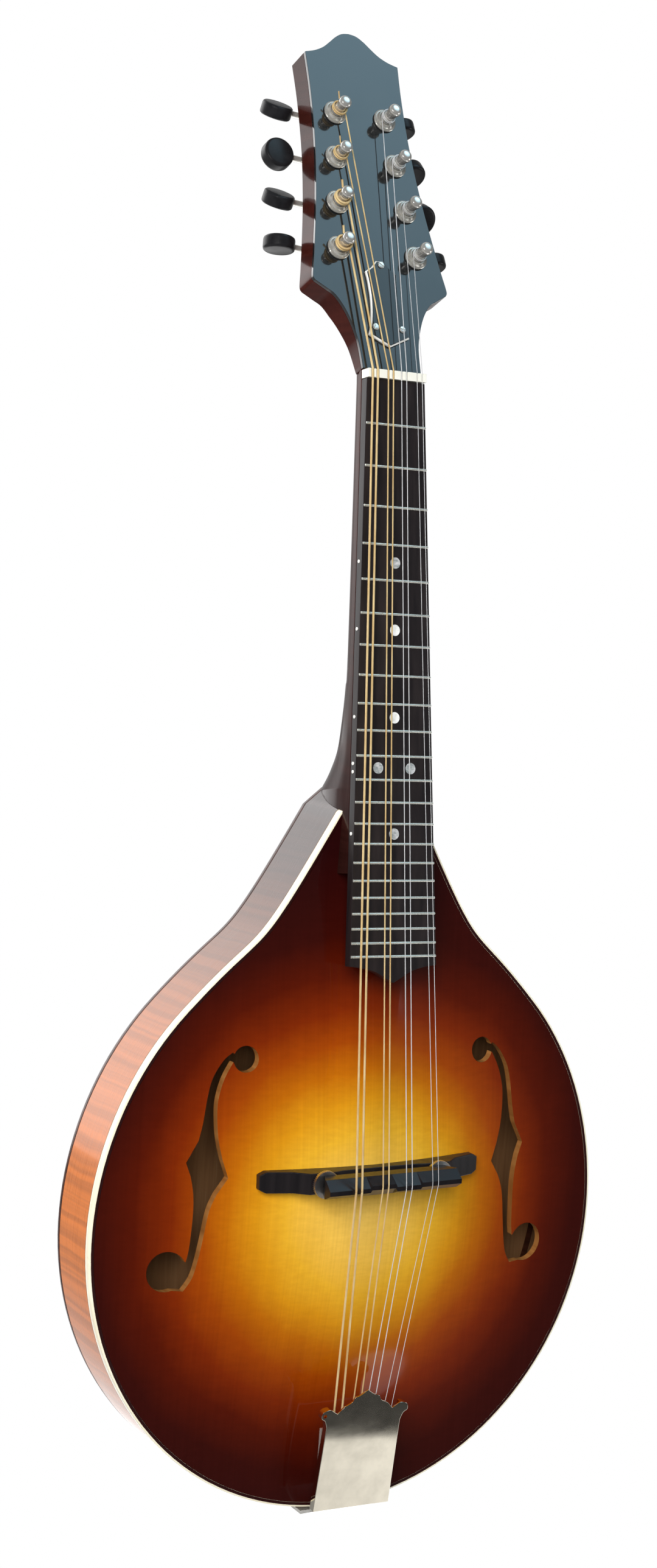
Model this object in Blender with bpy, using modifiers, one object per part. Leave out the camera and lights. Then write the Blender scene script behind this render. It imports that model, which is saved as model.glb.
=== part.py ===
"""A-style mandolin, modelled piece by piece.

Metres. X runs from the bass side to the treble side, Y from the strings towards the back, and Z up the neck. The
origin is the middle of the fretboard's face at the front of the nut. The rim's edges lie in planes square to Y, and
the neck leans back from them.
"""

import math

import bmesh
import bpy
from mathutils import Matrix, Vector

# Clearances, and how far a cutter reaches past what it cuts
GAP = 0.0003
RUNNING_GAP = 0.0003
WINDING_GAP = 0.00045
CUT_PAST = 0.01

# Scale, neck and fretboard
SCALE_LENGTH = 0.3524
FRET_COUNT = 22
JOINT_FRET = 15
NECK_LEAN = math.radians(7.5)
NUT_WIDTH = 0.0295
LAST_FRET_WIDTH = 0.0435
BOARD_THICKNESS = 0.0047
BOARD_OVERHANG = 0.0042
BOARD_POINT = 0.0075
FRET_WIDTH = 0.0012
FRET_HEIGHT = 0.0008
FRET_TANG = 0.0011
FRET_INSET = 0.00008
NUT_THICKNESS = 0.0039
NUT_HEIGHT = 0.0016
NUT_STRING_REST = 0.00105
BOARD_ABOVE_RIM = 0.0132
NECK_DEPTH_AT_NUT = 0.0156
NECK_DEPTH_AT_SEVENTH = 0.019
HEEL_START = 0.047
HEEL_FLARE = (0.022, 1.14)
HEEL_CURVE = ((-0.009, 0.518), (0.002, 0.60), (0.008, 0.681), (0.013, 0.787), (0.018, 0.909), (0.023, 1.057))
HEEL_TRIM = 0.05
RISER_LENGTH = 0.013
TENON_WIDTH = 0.016
TENON_HEIGHT = 0.022
TENON_LENGTH = 0.012

# Head
HEAD_LEAN = math.radians(14.3)
HEAD_START = (0.0, 0.0032, 0.004)
HEADPLATE_THICKNESS = 0.0017
HEAD_THICKNESS = 0.014
HEAD_EASE = 0.0075
HEAD_EASE_END = 0.035
HEAD_CORNER = 0.0008
UNDER_HEAD = ((0.017, 0.014, 0.0088, 0.0209), (0.010, 0.0145, 0.0069, 0.0207), (0.0046, 0.01475, 0.0056, 0.0206))
NUT_SHELF = 0.0040
HEAD_OUTLINE = (
    (0.0148, 0.001),
    (0.0154, 0.0128),
    (0.0172, 0.021),
    (0.0203, 0.029),
    (0.0243, 0.035),
    (0.0280, 0.0375),
    (0.0336, 0.0409),
    (0.0344, 0.0424),
    (0.0341, 0.0455),
    (0.0321, 0.056),
    (0.0278, 0.083),
    (0.0249, 0.110),
    (0.0239, 0.136),
    (0.0242, 0.155),
    (0.0190, 0.1568),
    (0.0140, 0.1586),
    (0.0106, 0.1621),
    (0.0070, 0.1655),
    (0.0040, 0.1667),
)
HEAD_CREST = 0.168
COVER_OUTLINE = (
    (0.0, 0.0118),
    (0.0104, 0.0169),
    (0.0086, 0.0225),
    (0.0072, 0.033),
    (0.0073, 0.0420),
    (0.0080, 0.0477),
    (0.0046, 0.0500),
    (0.0019, 0.0534),
)
COVER_THICKNESS = 0.0016
COVER_MARGIN = 0.001

# Truss rod
TRUSS_RADIUS = 0.0024
TRUSS_DEPTH = 0.0118
TRUSS_SHORT_OF_JOINT = 0.028
TRUSS_NUT_RADIUS = 0.0033
TRUSS_NUT_START = 0.007
TRUSS_NUT_LENGTH = 0.009
TRUSS_POCKET_WIDTH = 0.010
TRUSS_POCKET_END = 0.040
TRUSS_POCKET_FLOOR = 0.0006

# Tuners: posts in a slanted row on each side, buttons on worm shafts
TUNERS_PER_SIDE = 4
FIRST_POST = (0.0199, 0.0578)
POST_PITCH = 0.0227
ROW_SLANT = math.radians(5.9)
POST_RADIUS = 0.003
POST_WAIST = 0.0025
POST_RISE = 0.012
POST_CAP = 0.003
POST_SHOULDER = 0.0028
POST_EASE = 0.0004
BUSHING_RADIUS = 0.0045
BUSHING_SLEEVE = 0.008
BUSHING_COLLAR = 0.0016
WASHER_RADIUS = 0.0055
WASHER_THICKNESS = 0.0008
PLATE_THICKNESS = 0.001
PLATE_WIDTH = 0.0145
PLATE_MARGIN = 0.0085
WORM_OFFSET = 0.0062
WORM_DEPTH = 0.018
WORM_RADIUS = 0.0019
WORM_LENGTH = 0.0072
GEAR_TEETH = 14
GEAR_THICKNESS = 0.003
GEAR_TOOTH = 0.0005
SHAFT_RADIUS = 0.0015
EAR_THICKNESS = 0.0016
EAR_SIZE = 0.0052
EAR_PLACE = 0.0052
BUTTON_REACH = 0.0202
BUTTON_RADIUS = 0.00725
BUTTON_THICKNESS = 0.0063
BASS_TURNS = (78, 45, 0, 45)
TREBLE_TURNS = (90, 45, 68, 90)

# Body outline, from the neck joint down
BODY_HALF_WIDTH = 0.1282
WIDEST_DROP = 0.172
LOWER_HEIGHT = 0.1313
UPPER_HEIGHT = 0.138
SHOULDER_ANGLE = 0.799
SHOULDER_PULL = 0.0586
CHEEK_PULL = 0.08265
CHEEK_SLOPE = (-0.579, 1.0)
CHEEK = (0.0204, -0.0138)
NOSE = (0.0115, -0.0212)
OUTLINE_STEPS = (9, 6, 8, 1)

# Body depth, plates and rim
RIM_DEPTH = 0.036
ARCH_DROP = 0.1558
TOP_ARCH = 0.016
BACK_ARCH = 0.013
ARCH_REACH = 0.93
ARCH_POWER = 0.85
TOP_EDGE = 0.0035
TOP_CENTRE = 0.0044
BACK_EDGE = 0.003
BACK_CENTRE = 0.0038
RIM_WALL = 0.002
LINING_WIDTH = 0.004
LINING_HEIGHT = 0.008
BINDING_WIDTH = 0.0022
BINDING_HEIGHT = 0.0045
HEAD_BLOCK_LENGTH = 0.034
TAIL_BLOCK_LENGTH = 0.018
TAIL_BLOCK_HALF_WIDTH = 0.045
TONE_BAR_WIDTH = 0.006
TONE_BAR_HEIGHT = 0.012
TONE_BAR_TIP = 0.004
TONE_BAR_DROPS = (0.075, 0.235)
TONE_BAR_X = (0.020, 0.036)

# F-holes: (distance from the middle, drop below the neck joint)
UPPER_EYE = (0.0605, 0.0943)
UPPER_EYE_RADIUS = 0.0058
LOWER_EYE = (0.0923, 0.1868)
LOWER_EYE_RADIUS = 0.009
F_OUTER_TOP = (
    (0.0666, 0.0913),
    (0.0709, 0.0948),
    (0.0756, 0.1023),
    (0.0778, 0.1108),
    (0.0795, 0.1218),
    (0.0812, 0.1293),
)
F_OUTER_NICK = (0.0864, 0.1388)
F_OUTER_LOW = (
    (0.0841, 0.1448),
    (0.0827, 0.1518),
    (0.0822, 0.1608),
    (0.0829, 0.1758),
    (0.0839, 0.1823),
)
F_INNER_LOW = (
    (0.0841, 0.1958),
    (0.0807, 0.1903),
    (0.0789, 0.1833),
    (0.0773, 0.1738),
    (0.0752, 0.1603),
    (0.0722, 0.1528),
)
F_INNER_NICK = (0.0675, 0.1458)
F_INNER_TOP = (
    (0.0703, 0.1378),
    (0.0724, 0.1288),
    (0.0732, 0.1188),
    (0.0728, 0.1113),
    (0.0703, 0.1028),
    (0.0665, 0.0958),
)

# Bridge
BRIDGE_SET_BACK = 0.0012
BRIDGE_SLANT = math.radians(-1.3)
STRINGS_ABOVE_BOARD = 0.0049
BASE_LENGTH = 0.111
BASE_WIDTH = 0.0095
BASE_END_HEIGHT = 0.0045
BASE_PAD_HEIGHT = 0.0088
BASE_PAD_HALF = 0.0065
BASE_PAD_EASES = (0.003, 0.006)
BASE_DIPS = (0.0012, 0.0009, 0.0050)
BASE_END_EASES = (0.008, 0.006, 0.003)
BASE_END_DROP = 0.0006
BASE_END_TAPER = 0.0016
WHEEL_SPACING = 0.0574
WHEEL_RADIUS = 0.00615
WHEEL_THICKNESS = 0.0018
WHEEL_CLEARANCE = 0.001
WHEEL_NOTCHES = 24
BRIDGE_POST_RADIUS = 0.0015
BRIDGE_POST_SINK = 0.004
BRIDGE_POST_RISE = 0.0055
BRIDGE_POST_HEADROOM = 0.001
SADDLE_LENGTH = 0.0664
SADDLE_WIDTH = 0.0085
SADDLE_RIDGE = 0.002
SADDLE_SHOULDER = 0.0055
SADDLE_CHAMFER = 0.001
SADDLE_STEPS = (-0.0010, 0.0001, -0.0014, -0.0005)
SADDLE_STEP_RUN = 0.0004
SADDLE_END_CUT = 0.0028
SADDLE_END_LIP = 0.0005

# Tailpiece and end pin
BASE_SHEET = 0.0014
HOOK_PLATE_HEIGHT = 0.0148
HOOK_PLATE_HALF_WIDTH = 0.0172
HOOK_PLATE_LENGTH = 0.043
HOOKS_BELOW_PLATE_TOP = 0.0146
LEG_BELOW_PIN = 0.0085
HOOK_RADIUS = 0.0007
HOOK_HEIGHT = 0.0034
HOOK_SPACING = 0.0042
STRING_ABOVE_PLATE = 0.0024
TAIL_COVER_SLOPE = math.radians(8.5)
TAIL_COVER_THICKNESS = 0.001
TAIL_COVER_FLANGE = 0.0034
TAIL_COVER_CLEARANCE = 0.0006
TAIL_COVER_RISE = 0.0052
TAIL_COVER_OUTLINE = (
    (0.0194, 0.0),
    (0.0188, 0.0410),
    (0.0200, 0.0443),
    (0.0219, 0.0458),
    (0.0214, 0.0486),
    (0.0180, 0.0496),
    (0.0158, 0.0484),
    (0.0139, 0.0472),
    (0.0112, 0.0502),
    (0.0074, 0.0521),
    (0.0062, 0.0542),
    (0.0037, 0.0551),
)
TAIL_COVER_CREST = 0.0575
PIN_RADIUS = 0.003
PIN_HEAD_RADIUS = 0.006
PIN_HEAD_LENGTH = 0.0066
PIN_DEPTH = 0.014

# Strings: name, diameter, distance from the middle at the nut, the bridge and the tail, tuner place counted from
# the nut, and where the saddle's ridge stands for that course. The bass side comes first.
PAIR_GAP_AT_NUT = 0.0026
PAIR_GAP_AT_BRIDGE = 0.0029
OUTER_PAIR_AT_NUT = 0.0114
INNER_PAIR_AT_NUT = 0.0034
OUTER_PAIR_AT_BRIDGE = 0.0194
INNER_PAIR_AT_BRIDGE = 0.006
COURSES = (("g", 0.0010, -1, 1), ("d", 0.00066, -1, 0), ("a", 0.0004, 1, 0), ("e", 0.00028, 1, 1))
WINDING_TURNS = 2.25
WINDING_POINTS = 8
LOOP_POINTS = 4
LOOP_TAIL = 0.002
LOOP_SHARE = 0.6
FINE_STEPS = 6
BRONZE = (0.80, 0.58, 0.28)
STEEL = (0.75, 0.75, 0.76)

ROUND_STEPS = 16

# Places that follow from the sizes
NECK_FRAME = Matrix.Rotation(-NECK_LEAN, 4, "X")
HEAD_FRAME = NECK_FRAME @ Matrix.Translation(HEAD_START) @ Matrix.Rotation(-HEAD_LEAN, 4, "X")


def fret_distance(number):
    return SCALE_LENGTH * (1 - 2 ** (-number / 12))


def board_half_width(distance):
    """Half the fretboard's width at a distance down from the nut."""
    slope = (LAST_FRET_WIDTH - NUT_WIDTH) / fret_distance(FRET_COUNT)
    return (NUT_WIDTH + slope * distance) / 2


JOINT = NECK_FRAME @ Vector((0, BOARD_ABOVE_RIM, -fret_distance(JOINT_FRET)))
RIM_FRONT = JOINT.y
RIM_BACK = RIM_FRONT + RIM_DEPTH
WIDEST_Z = JOINT.z - WIDEST_DROP
TAIL_Z = WIDEST_Z - LOWER_HEIGHT
NOSE_Z = JOINT.z - NOSE[1]
ARCH_Z = JOINT.z - ARCH_DROP
NECK_TOP = BOARD_THICKNESS + GAP
BRIDGE_POINT = NECK_FRAME @ Vector((0, -STRINGS_ABOVE_BOARD, -SCALE_LENGTH - BRIDGE_SET_BACK))
SADDLE_TOP = BRIDGE_POINT.y + GAP + COURSES[0][1] / 2
TRUSS_END = fret_distance(JOINT_FRET) - TRUSS_SHORT_OF_JOINT
POST_HOLE_RADIUS = POST_RADIUS + RUNNING_GAP
HEAD_HOLE_RADIUS = BUSHING_RADIUS + GAP
GEAR_RADIUS = WORM_OFFSET - WORM_RADIUS - RUNNING_GAP
HOOK_PLATE_FRONT = RIM_FRONT - HOOK_PLATE_HEIGHT
LEG_FRONT_Z = TAIL_Z - GAP
HOOK_Z = LEG_FRONT_Z + HOOK_PLATE_LENGTH - HOOKS_BELOW_PLATE_TOP
PIN_Y = RIM_FRONT + RIM_DEPTH / 2

parts = bpy.data.collections.new("a_style_mandolin")
cutters = bpy.data.collections.new("cutters")


def clear_scene():
    for old in list(bpy.data.objects):
        bpy.data.objects.remove(old)
    bpy.context.scene.collection.children.link(parts)
    bpy.context.scene.collection.children.link(cutters)


def add_empty(name, frame):
    guide = bpy.data.objects.new(name, None)
    guide.matrix_world = frame
    parts.objects.link(guide)
    return guide


def place(piece, parent=None, location=(0, 0, 0), rotation=(0, 0, 0)):
    piece.parent = parent
    piece.location = location
    piece.rotation_euler = rotation
    return piece


def mesh_piece(name, work, parent=None):
    """The object made of a bmesh, in the collection of parts."""
    bmesh.ops.recalc_face_normals(work, faces=work.faces)
    mesh = bpy.data.meshes.new(name)
    work.to_mesh(mesh)
    work.free()
    piece = bpy.data.objects.new(name, mesh)
    parts.objects.link(piece)
    piece.parent = parent
    return piece


def copy_piece(name, original, parent, location, rotation):
    piece = bpy.data.objects.new(name, original.data)
    parts.objects.link(piece)
    return place(piece, parent, location, rotation)


def as_tool(piece):
    """Makes a piece a cutter or a filler, which shapes others and is no part itself."""
    parts.objects.unlink(piece)
    cutters.objects.link(piece)
    piece.hide_render = True
    piece.display_type = "WIRE"
    return piece


def shape(piece, tool, operation="DIFFERENCE"):
    change = piece.modifiers.new(operation.title(), "BOOLEAN")
    change.operation = operation
    change.solver = "EXACT"
    change.object = as_tool(tool) if tool.name in parts.objects else tool
    return piece


def settle(piece):
    """The piece with its modifiers worked out, so that copies can share its mesh."""
    bpy.context.view_layer.update()
    seen = piece.evaluated_get(bpy.context.evaluated_depsgraph_get())
    mesh = bpy.data.meshes.new_from_object(seen)
    piece.modifiers.clear()
    piece.data = mesh
    return piece


def coat(piece, colour, roughness, metallic=0.0):
    """The piece's own material, held by the piece itself where like pieces share one mesh."""
    material = bpy.data.materials.new(piece.name)
    material.use_nodes = True
    shader = material.node_tree.nodes["Principled BSDF"]
    shader.inputs["Base Color"].default_value = (*colour, 1)
    shader.inputs["Roughness"].default_value = roughness
    shader.inputs["Metallic"].default_value = metallic
    if not piece.data.materials:
        piece.data.materials.append(None)
    piece.material_slots[0].link = "OBJECT"
    piece.material_slots[0].material = material


def finish(piece, colour, roughness, metallic=0.0):
    """Gives the piece its material, and shades it smooth between its edges."""
    coat(piece, colour, roughness, metallic)
    piece.data.shade_smooth()
    piece.data.set_sharp_from_angle(angle=math.radians(35))
    return piece


def box(name, low, high, parent=None):
    work = bmesh.new()
    bmesh.ops.create_cube(work, size=1)
    low, high = Vector(low), Vector(high)
    bmesh.ops.scale(work, vec=high - low, verts=work.verts)
    bmesh.ops.translate(work, vec=(high + low) / 2, verts=work.verts)
    return mesh_piece(name, work, parent)


def rod(name, start, end, radius, parent=None, steps=ROUND_STEPS):
    """A straight round bar between two points."""
    return rods(name, [(start, end)], radius, parent, steps)


def rods(name, lines, radius, parent=None, steps=ROUND_STEPS):
    """Several round bars in one object, none touching."""
    work = bmesh.new()
    for start, end in lines:
        start, end = Vector(start), Vector(end)
        turn = (end - start).to_track_quat("Z", "Y").to_matrix().to_4x4()
        bmesh.ops.create_cone(
            work,
            cap_ends=True,
            segments=steps,
            radius1=radius,
            radius2=radius,
            depth=(end - start).length,
            matrix=Matrix.Translation((start + end) / 2) @ turn,
        )
    return mesh_piece(name, work, parent)


def turned(name, profile, steps=ROUND_STEPS, ring=False):
    """A profile of (radius, height) pairs, top to bottom on its outer side, turned about Z."""
    work = bmesh.new()
    points = [work.verts.new((radius, 0, height)) for radius, height in profile]
    for start, end in zip(points, points[1:]):
        work.edges.new((start, end))
    if ring:
        work.edges.new((points[-1], points[0]))
    mesh = bpy.data.meshes.new(name)
    work.to_mesh(mesh)
    work.free()
    piece = bpy.data.objects.new(name, mesh)
    parts.objects.link(piece)
    lathe = piece.modifiers.new("Turn", "SCREW")
    lathe.axis = "Z"
    lathe.angle = math.tau
    lathe.steps = steps
    lathe.render_steps = steps
    lathe.use_merge_vertices = True
    lathe.merge_threshold = 0.00001
    return piece


def loft(name, rings, parent=None, closed=False):
    """A skin over rings of like count. Its ends are capped, or joined to each other where it is closed."""
    work = bmesh.new()
    rows = [[work.verts.new(point) for point in ring] for ring in rings]
    pairs = list(zip(rows, rows[1:]))
    if closed:
        pairs.append((rows[-1], rows[0]))
    for near, far in pairs:
        for i in range(len(near)):
            j = (i + 1) % len(near)
            work.faces.new((near[i], near[j], far[j], far[i]))
    if not closed:
        work.faces.new(rows[0])
        work.faces.new(rows[-1][::-1])
    return mesh_piece(name, work, parent)


def slab(name, outline, front, back, parent=None):
    """A flat outline of (x, z) points, filled and given its thickness along Y."""
    curve = bpy.data.curves.new(name, "CURVE")
    curve.dimensions = "2D"
    curve.fill_mode = "BOTH"
    curve.extrude = (back - front) / 2
    line = curve.splines.new("POLY")
    line.points.add(len(outline) - 1)
    for point, (x, z) in zip(line.points, outline):
        point.co = (x, z, 0, 1)
    line.use_cyclic_u = True
    sketch = bpy.data.objects.new(name, curve)
    parts.objects.link(sketch)
    bpy.context.view_layer.update()
    seen = sketch.evaluated_get(bpy.context.evaluated_depsgraph_get())
    mesh = bpy.data.meshes.new_from_object(seen)
    work = bmesh.new()
    work.from_mesh(mesh)
    bpy.data.meshes.remove(mesh)
    bpy.data.objects.remove(sketch)
    bmesh.ops.remove_doubles(work, verts=work.verts, dist=0.000001)
    upright = Matrix.Translation((0, (front + back) / 2, 0)) @ Matrix.Rotation(math.pi / 2, 4, "X")
    bmesh.ops.transform(work, matrix=upright, verts=work.verts)
    return mesh_piece(name, work, parent)


def tube(name, points, radius, thin_from=None, thin=1.0):
    """A wire through the points, which narrows from one of them on."""
    curve = bpy.data.curves.new(name, "CURVE")
    curve.dimensions = "3D"
    curve.bevel_depth = radius
    curve.bevel_resolution = 1
    curve.use_fill_caps = True
    line = curve.splines.new("POLY")
    line.points.add(len(points) - 1)
    for i, point in enumerate(points):
        line.points[i].co = (*point, 1)
        if thin_from is not None and i >= thin_from:
            line.points[i].radius = thin
    piece = bpy.data.objects.new(name, curve)
    parts.objects.link(piece)
    return piece


def mirrored(half):
    """A closed outline from its right half, listed from one end on the middle line to the other."""
    left = [(-x, z) for x, z in half[::-1] if x > 0]
    return list(half) + left


def through(points, steps=3):
    """A smooth line through points, with a few steps from each to the next."""
    ends = [points[0], *points, points[-1]]
    line = []
    for a, b, c, d in zip(ends, ends[1:], ends[2:], ends[3:]):
        for i in range(steps):
            t = i / steps
            weights = (
                (-t + 2 * t**2 - t**3) / 2,
                (2 - 5 * t**2 + 3 * t**3) / 2,
                (t + 4 * t**2 - 3 * t**3) / 2,
                (-(t**2) + t**3) / 2,
            )
            line.append(tuple(sum(w * p[k] for w, p in zip(weights, (a, b, c, d))) for k in (0, 1)))
    line.append(tuple(points[-1]))
    return line


def between(table, at):
    """A value read from a table of (place, value) pairs, straight between its rows."""
    for (start, low), (end, high) in zip(table, table[1:]):
        if at <= end:
            return low + (high - low) * max(0.0, at - start) / (end - start)
    return table[-1][1]


def body_half():
    """The body's right half from the tail to the middle of the nose, as (x, z)."""
    lower, upper, shoulder, cheek = OUTLINE_STEPS
    half = []
    for i in range(lower):
        angle = math.pi / 2 * (i / lower - 1)
        half.append((BODY_HALF_WIDTH * math.cos(angle), WIDEST_Z + LOWER_HEIGHT * math.sin(angle)))
    half[0] = (0.0, TAIL_Z)
    for i in range(upper):
        angle = SHOULDER_ANGLE * i / upper
        half.append((BODY_HALF_WIDTH * math.cos(angle), WIDEST_Z + UPPER_HEIGHT * math.sin(angle)))
    side, rise = math.cos(SHOULDER_ANGLE), math.sin(SHOULDER_ANGLE)
    start = Vector((BODY_HALF_WIDTH * side, WIDEST_Z + UPPER_HEIGHT * rise))
    leave = Vector((-BODY_HALF_WIDTH * rise, UPPER_HEIGHT * side)).normalized()
    end = Vector((CHEEK[0], JOINT.z - CHEEK[1]))
    arrive = Vector(CHEEK_SLOPE).normalized()
    pulls = (start, start + leave * SHOULDER_PULL, end - arrive * CHEEK_PULL, end)
    for i in range(shoulder):
        t = i / shoulder
        weights = ((1 - t) ** 3, 3 * t * (1 - t) ** 2, 3 * t**2 * (1 - t), t**3)
        half.append(tuple(sum((w * p for w, p in zip(weights, pulls)), Vector((0, 0)))))
    for i in range(cheek):
        t = i / cheek
        half.append((end.x + (NOSE[0] - end.x) * t, end.y + (NOSE_Z - end.y) * t))
    half.append((NOSE[0], NOSE_Z))
    half.append((0.0, NOSE_Z))
    return half


BODY_OUTLINE = mirrored(body_half())


def inset(outline, distance):
    """An outline drawn in by a distance, square to its sides; a negative distance draws it out."""
    count = len(outline)
    drawn = []
    for i in range(count):
        before, here, after = (Vector(outline[k % count]) for k in (i - 1, i, i + 1))
        first = (here - before).normalized()
        second = (after - here).normalized()
        normal = Vector((-first.y - second.y, first.x + second.x))
        normal = normal.normalized() / max(0.5, math.cos(first.angle(second) / 2))
        drawn.append(tuple(here + normal * distance))
    return drawn


def arch(share, height):
    """How far an arched plate stands proud at a share of the way from its middle to its edge."""
    return height * (0.5 * (1 + math.cos(math.pi * min(share / ARCH_REACH, 1)))) ** ARCH_POWER


def share_at(x, z):
    """The share of the way from the arch's middle to the outline, along the ray through (x, z)."""
    centre = Vector((0, ARCH_Z))
    ray = Vector((abs(x), z)) - centre
    if ray.length < 0.001:
        return 0.0
    half = body_half()
    for start, end in zip(half, half[1:]):
        a, b = Vector(start) - centre, Vector(end) - centre
        side = b - a
        turn = ray.x * side.y - ray.y * side.x
        if abs(turn) < 1e-12:
            continue
        reach = (a.x * side.y - a.y * side.x) / turn
        along = (a.x * ray.y - a.y * ray.x) / turn
        if reach > 0 and -1e-6 <= along <= 1 + 1e-6:
            return 1 / reach
    return 1.0


def top_face(x, z):
    """The Y of the top plate's outer face."""
    return RIM_FRONT - arch(share_at(x, z), TOP_ARCH)


def plate_rings(outline, front, height, edge, centre, way, flat):
    """Rings of an arched plate, over its outer face to the edge and back under its inner face."""
    middle = Vector((0, ARCH_Z))
    rings = []

    def ring(share, y):
        around = [middle + (Vector(point) - middle) * share for point in outline]
        rings.append([(point.x, y, point.y) for point in around])

    for share in (0.12, 0.3, 0.46, 0.61, 0.75, 0.87, 1.0):
        ring(share, front + way * arch(share, height))
    ring(1.0, front - way * edge)
    for share in (flat, 0.76, 0.55, 0.33, 0.12):
        thickness = edge + (centre - edge) * (1 - share)
        rise = arch(share, height) if share < flat else 0
        ring(share, front + way * (rise - thickness))
    return rings


def make_top():
    outline = inset(BODY_OUTLINE, BINDING_WIDTH + GAP)
    rings = plate_rings(outline, RIM_FRONT, TOP_ARCH, TOP_EDGE, TOP_CENTRE, -1, 0.93)
    top = loft("top_plate", rings)
    above = RIM_FRONT - TOP_ARCH - CUT_PAST
    below = RIM_FRONT + CUT_PAST
    for side in (1, -1):
        for eye, radius in ((UPPER_EYE, UPPER_EYE_RADIUS), (LOWER_EYE, LOWER_EYE_RADIUS)):
            ends = [(side * eye[0], y, JOINT.z - eye[1]) for y in (above, below)]
            shape(top, rod("eye_cutter", *ends, radius, steps=14))
        stem = [(side * x, z) for x, z in f_stem()]
        shape(top, slab("stem_cutter", stem, above, below))
    return finish(top, (0.62, 0.27, 0.05), 0.2)


def f_stem():
    """The f-hole's stem between its eyes, with a nick on each side, as (x, z)."""
    outer = through(F_OUTER_TOP, 1) + [F_OUTER_NICK] + through(F_OUTER_LOW, 1)
    inner = through(F_INNER_LOW, 1) + [F_INNER_NICK] + through(F_INNER_TOP, 1)
    start = (UPPER_EYE[0] + UPPER_EYE_RADIUS / 2, UPPER_EYE[1])
    turn = (LOWER_EYE[0] - LOWER_EYE_RADIUS / 2, LOWER_EYE[1])
    base = (LOWER_EYE[0] - LOWER_EYE_RADIUS / 4, LOWER_EYE[1] + LOWER_EYE_RADIUS * 0.94)
    drops = [start, *outer, turn, base, *inner]
    return [(x, JOINT.z - drop) for x, drop in drops]


def make_back():
    rings = plate_rings(BODY_OUTLINE, RIM_BACK, BACK_ARCH, BACK_EDGE, BACK_CENTRE, 1, 0.94)
    return finish(loft("back_plate", rings), (0.16, 0.045, 0.015), 0.25)


def make_rim():
    """The bent sides with both linings, notched for the binding and for the neck's tenon."""
    front = RIM_FRONT + TOP_EDGE + GAP
    back = RIM_BACK - BACK_EDGE - GAP
    under_binding = RIM_FRONT + BINDING_HEIGHT + GAP
    behind_binding = BINDING_WIDTH + GAP
    deep = RIM_WALL + LINING_WIDTH
    section = (
        (0, under_binding),
        (0, back),
        (deep, back),
        (deep, back - LINING_HEIGHT),
        (RIM_WALL, back - LINING_HEIGHT - LINING_WIDTH / 2),
        (RIM_WALL, front + LINING_HEIGHT + LINING_WIDTH / 2),
        (deep, front + LINING_HEIGHT),
        (deep, front),
        (behind_binding, front),
        (behind_binding, under_binding),
    )
    rings = [[(x, y, z) for x, z in inset(BODY_OUTLINE, depth)] for depth, y in section]
    rim = loft("rim", rings, closed=True)
    shape(rim, tenon("rim_mortise_cutter", GAP))
    shape(rim, pin_hole("rim_pin_cutter", TAIL_Z + RIM_WALL + LINING_WIDTH))
    return finish(rim, (0.45, 0.17, 0.05), 0.3)


def pin_hole(name, inner_end):
    """The cutter for the end pin's hole, through all that lies between the tail and its inner end."""
    return rod(name, (0, PIN_Y, TAIL_Z - CUT_PAST), (0, PIN_Y, inner_end + CUT_PAST), PIN_RADIUS + GAP)


def make_binding():
    bottom = RIM_FRONT + BINDING_HEIGHT
    section = ((0, RIM_FRONT), (0, bottom), (BINDING_WIDTH, bottom), (BINDING_WIDTH, RIM_FRONT))
    rings = [[(x, y, z) for x, z in inset(BODY_OUTLINE, depth)] for depth, y in section]
    binding = loft("top_binding", rings, closed=True)
    return finish(binding, (0.86, 0.80, 0.62), 0.35)


def tenon(name, extra=0.0):
    """The neck's tenon, or the mortise for it when it is given some extra."""
    reach = NOSE_Z - TENON_LENGTH
    half = TENON_WIDTH / 2 + extra
    middle = RIM_FRONT + RIM_DEPTH / 2
    low = (-half, middle - TENON_HEIGHT / 2 - extra, reach - extra)
    high = (half, middle + TENON_HEIGHT / 2 + extra, NOSE_Z + CUT_PAST / 2)
    return box(name, low, high)


def make_blocks():
    """The blocks that the neck and the tail pin are fixed in, between the linings."""
    front = RIM_FRONT + TOP_EDGE + GAP
    back = RIM_BACK - BACK_EDGE - GAP
    inside = inset(BODY_OUTLINE, RIM_WALL + LINING_WIDTH + GAP)
    head = slab("head_block", inside, front, back)
    over, under = front - CUT_PAST, back + CUT_PAST
    low = NOSE_Z - HEAD_BLOCK_LENGTH
    keep = box("head_block_keep", (-BODY_HALF_WIDTH, over, low), (BODY_HALF_WIDTH, under, NOSE_Z + CUT_PAST))
    shape(head, keep, "INTERSECT")
    shape(head, tenon("head_mortise_cutter", GAP))
    finish(head, (0.42, 0.24, 0.12), 0.7)
    tail = slab("tail_block", inside, front, back)
    high = TAIL_Z + RIM_WALL + LINING_WIDTH + TAIL_BLOCK_LENGTH
    half = TAIL_BLOCK_HALF_WIDTH
    keep = box("tail_block_keep", (-half, over, TAIL_Z - CUT_PAST), (half, under, high))
    shape(tail, keep, "INTERSECT")
    shape(tail, pin_hole("block_pin_cutter", high))
    finish(tail, (0.42, 0.24, 0.12), 0.7)


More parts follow.
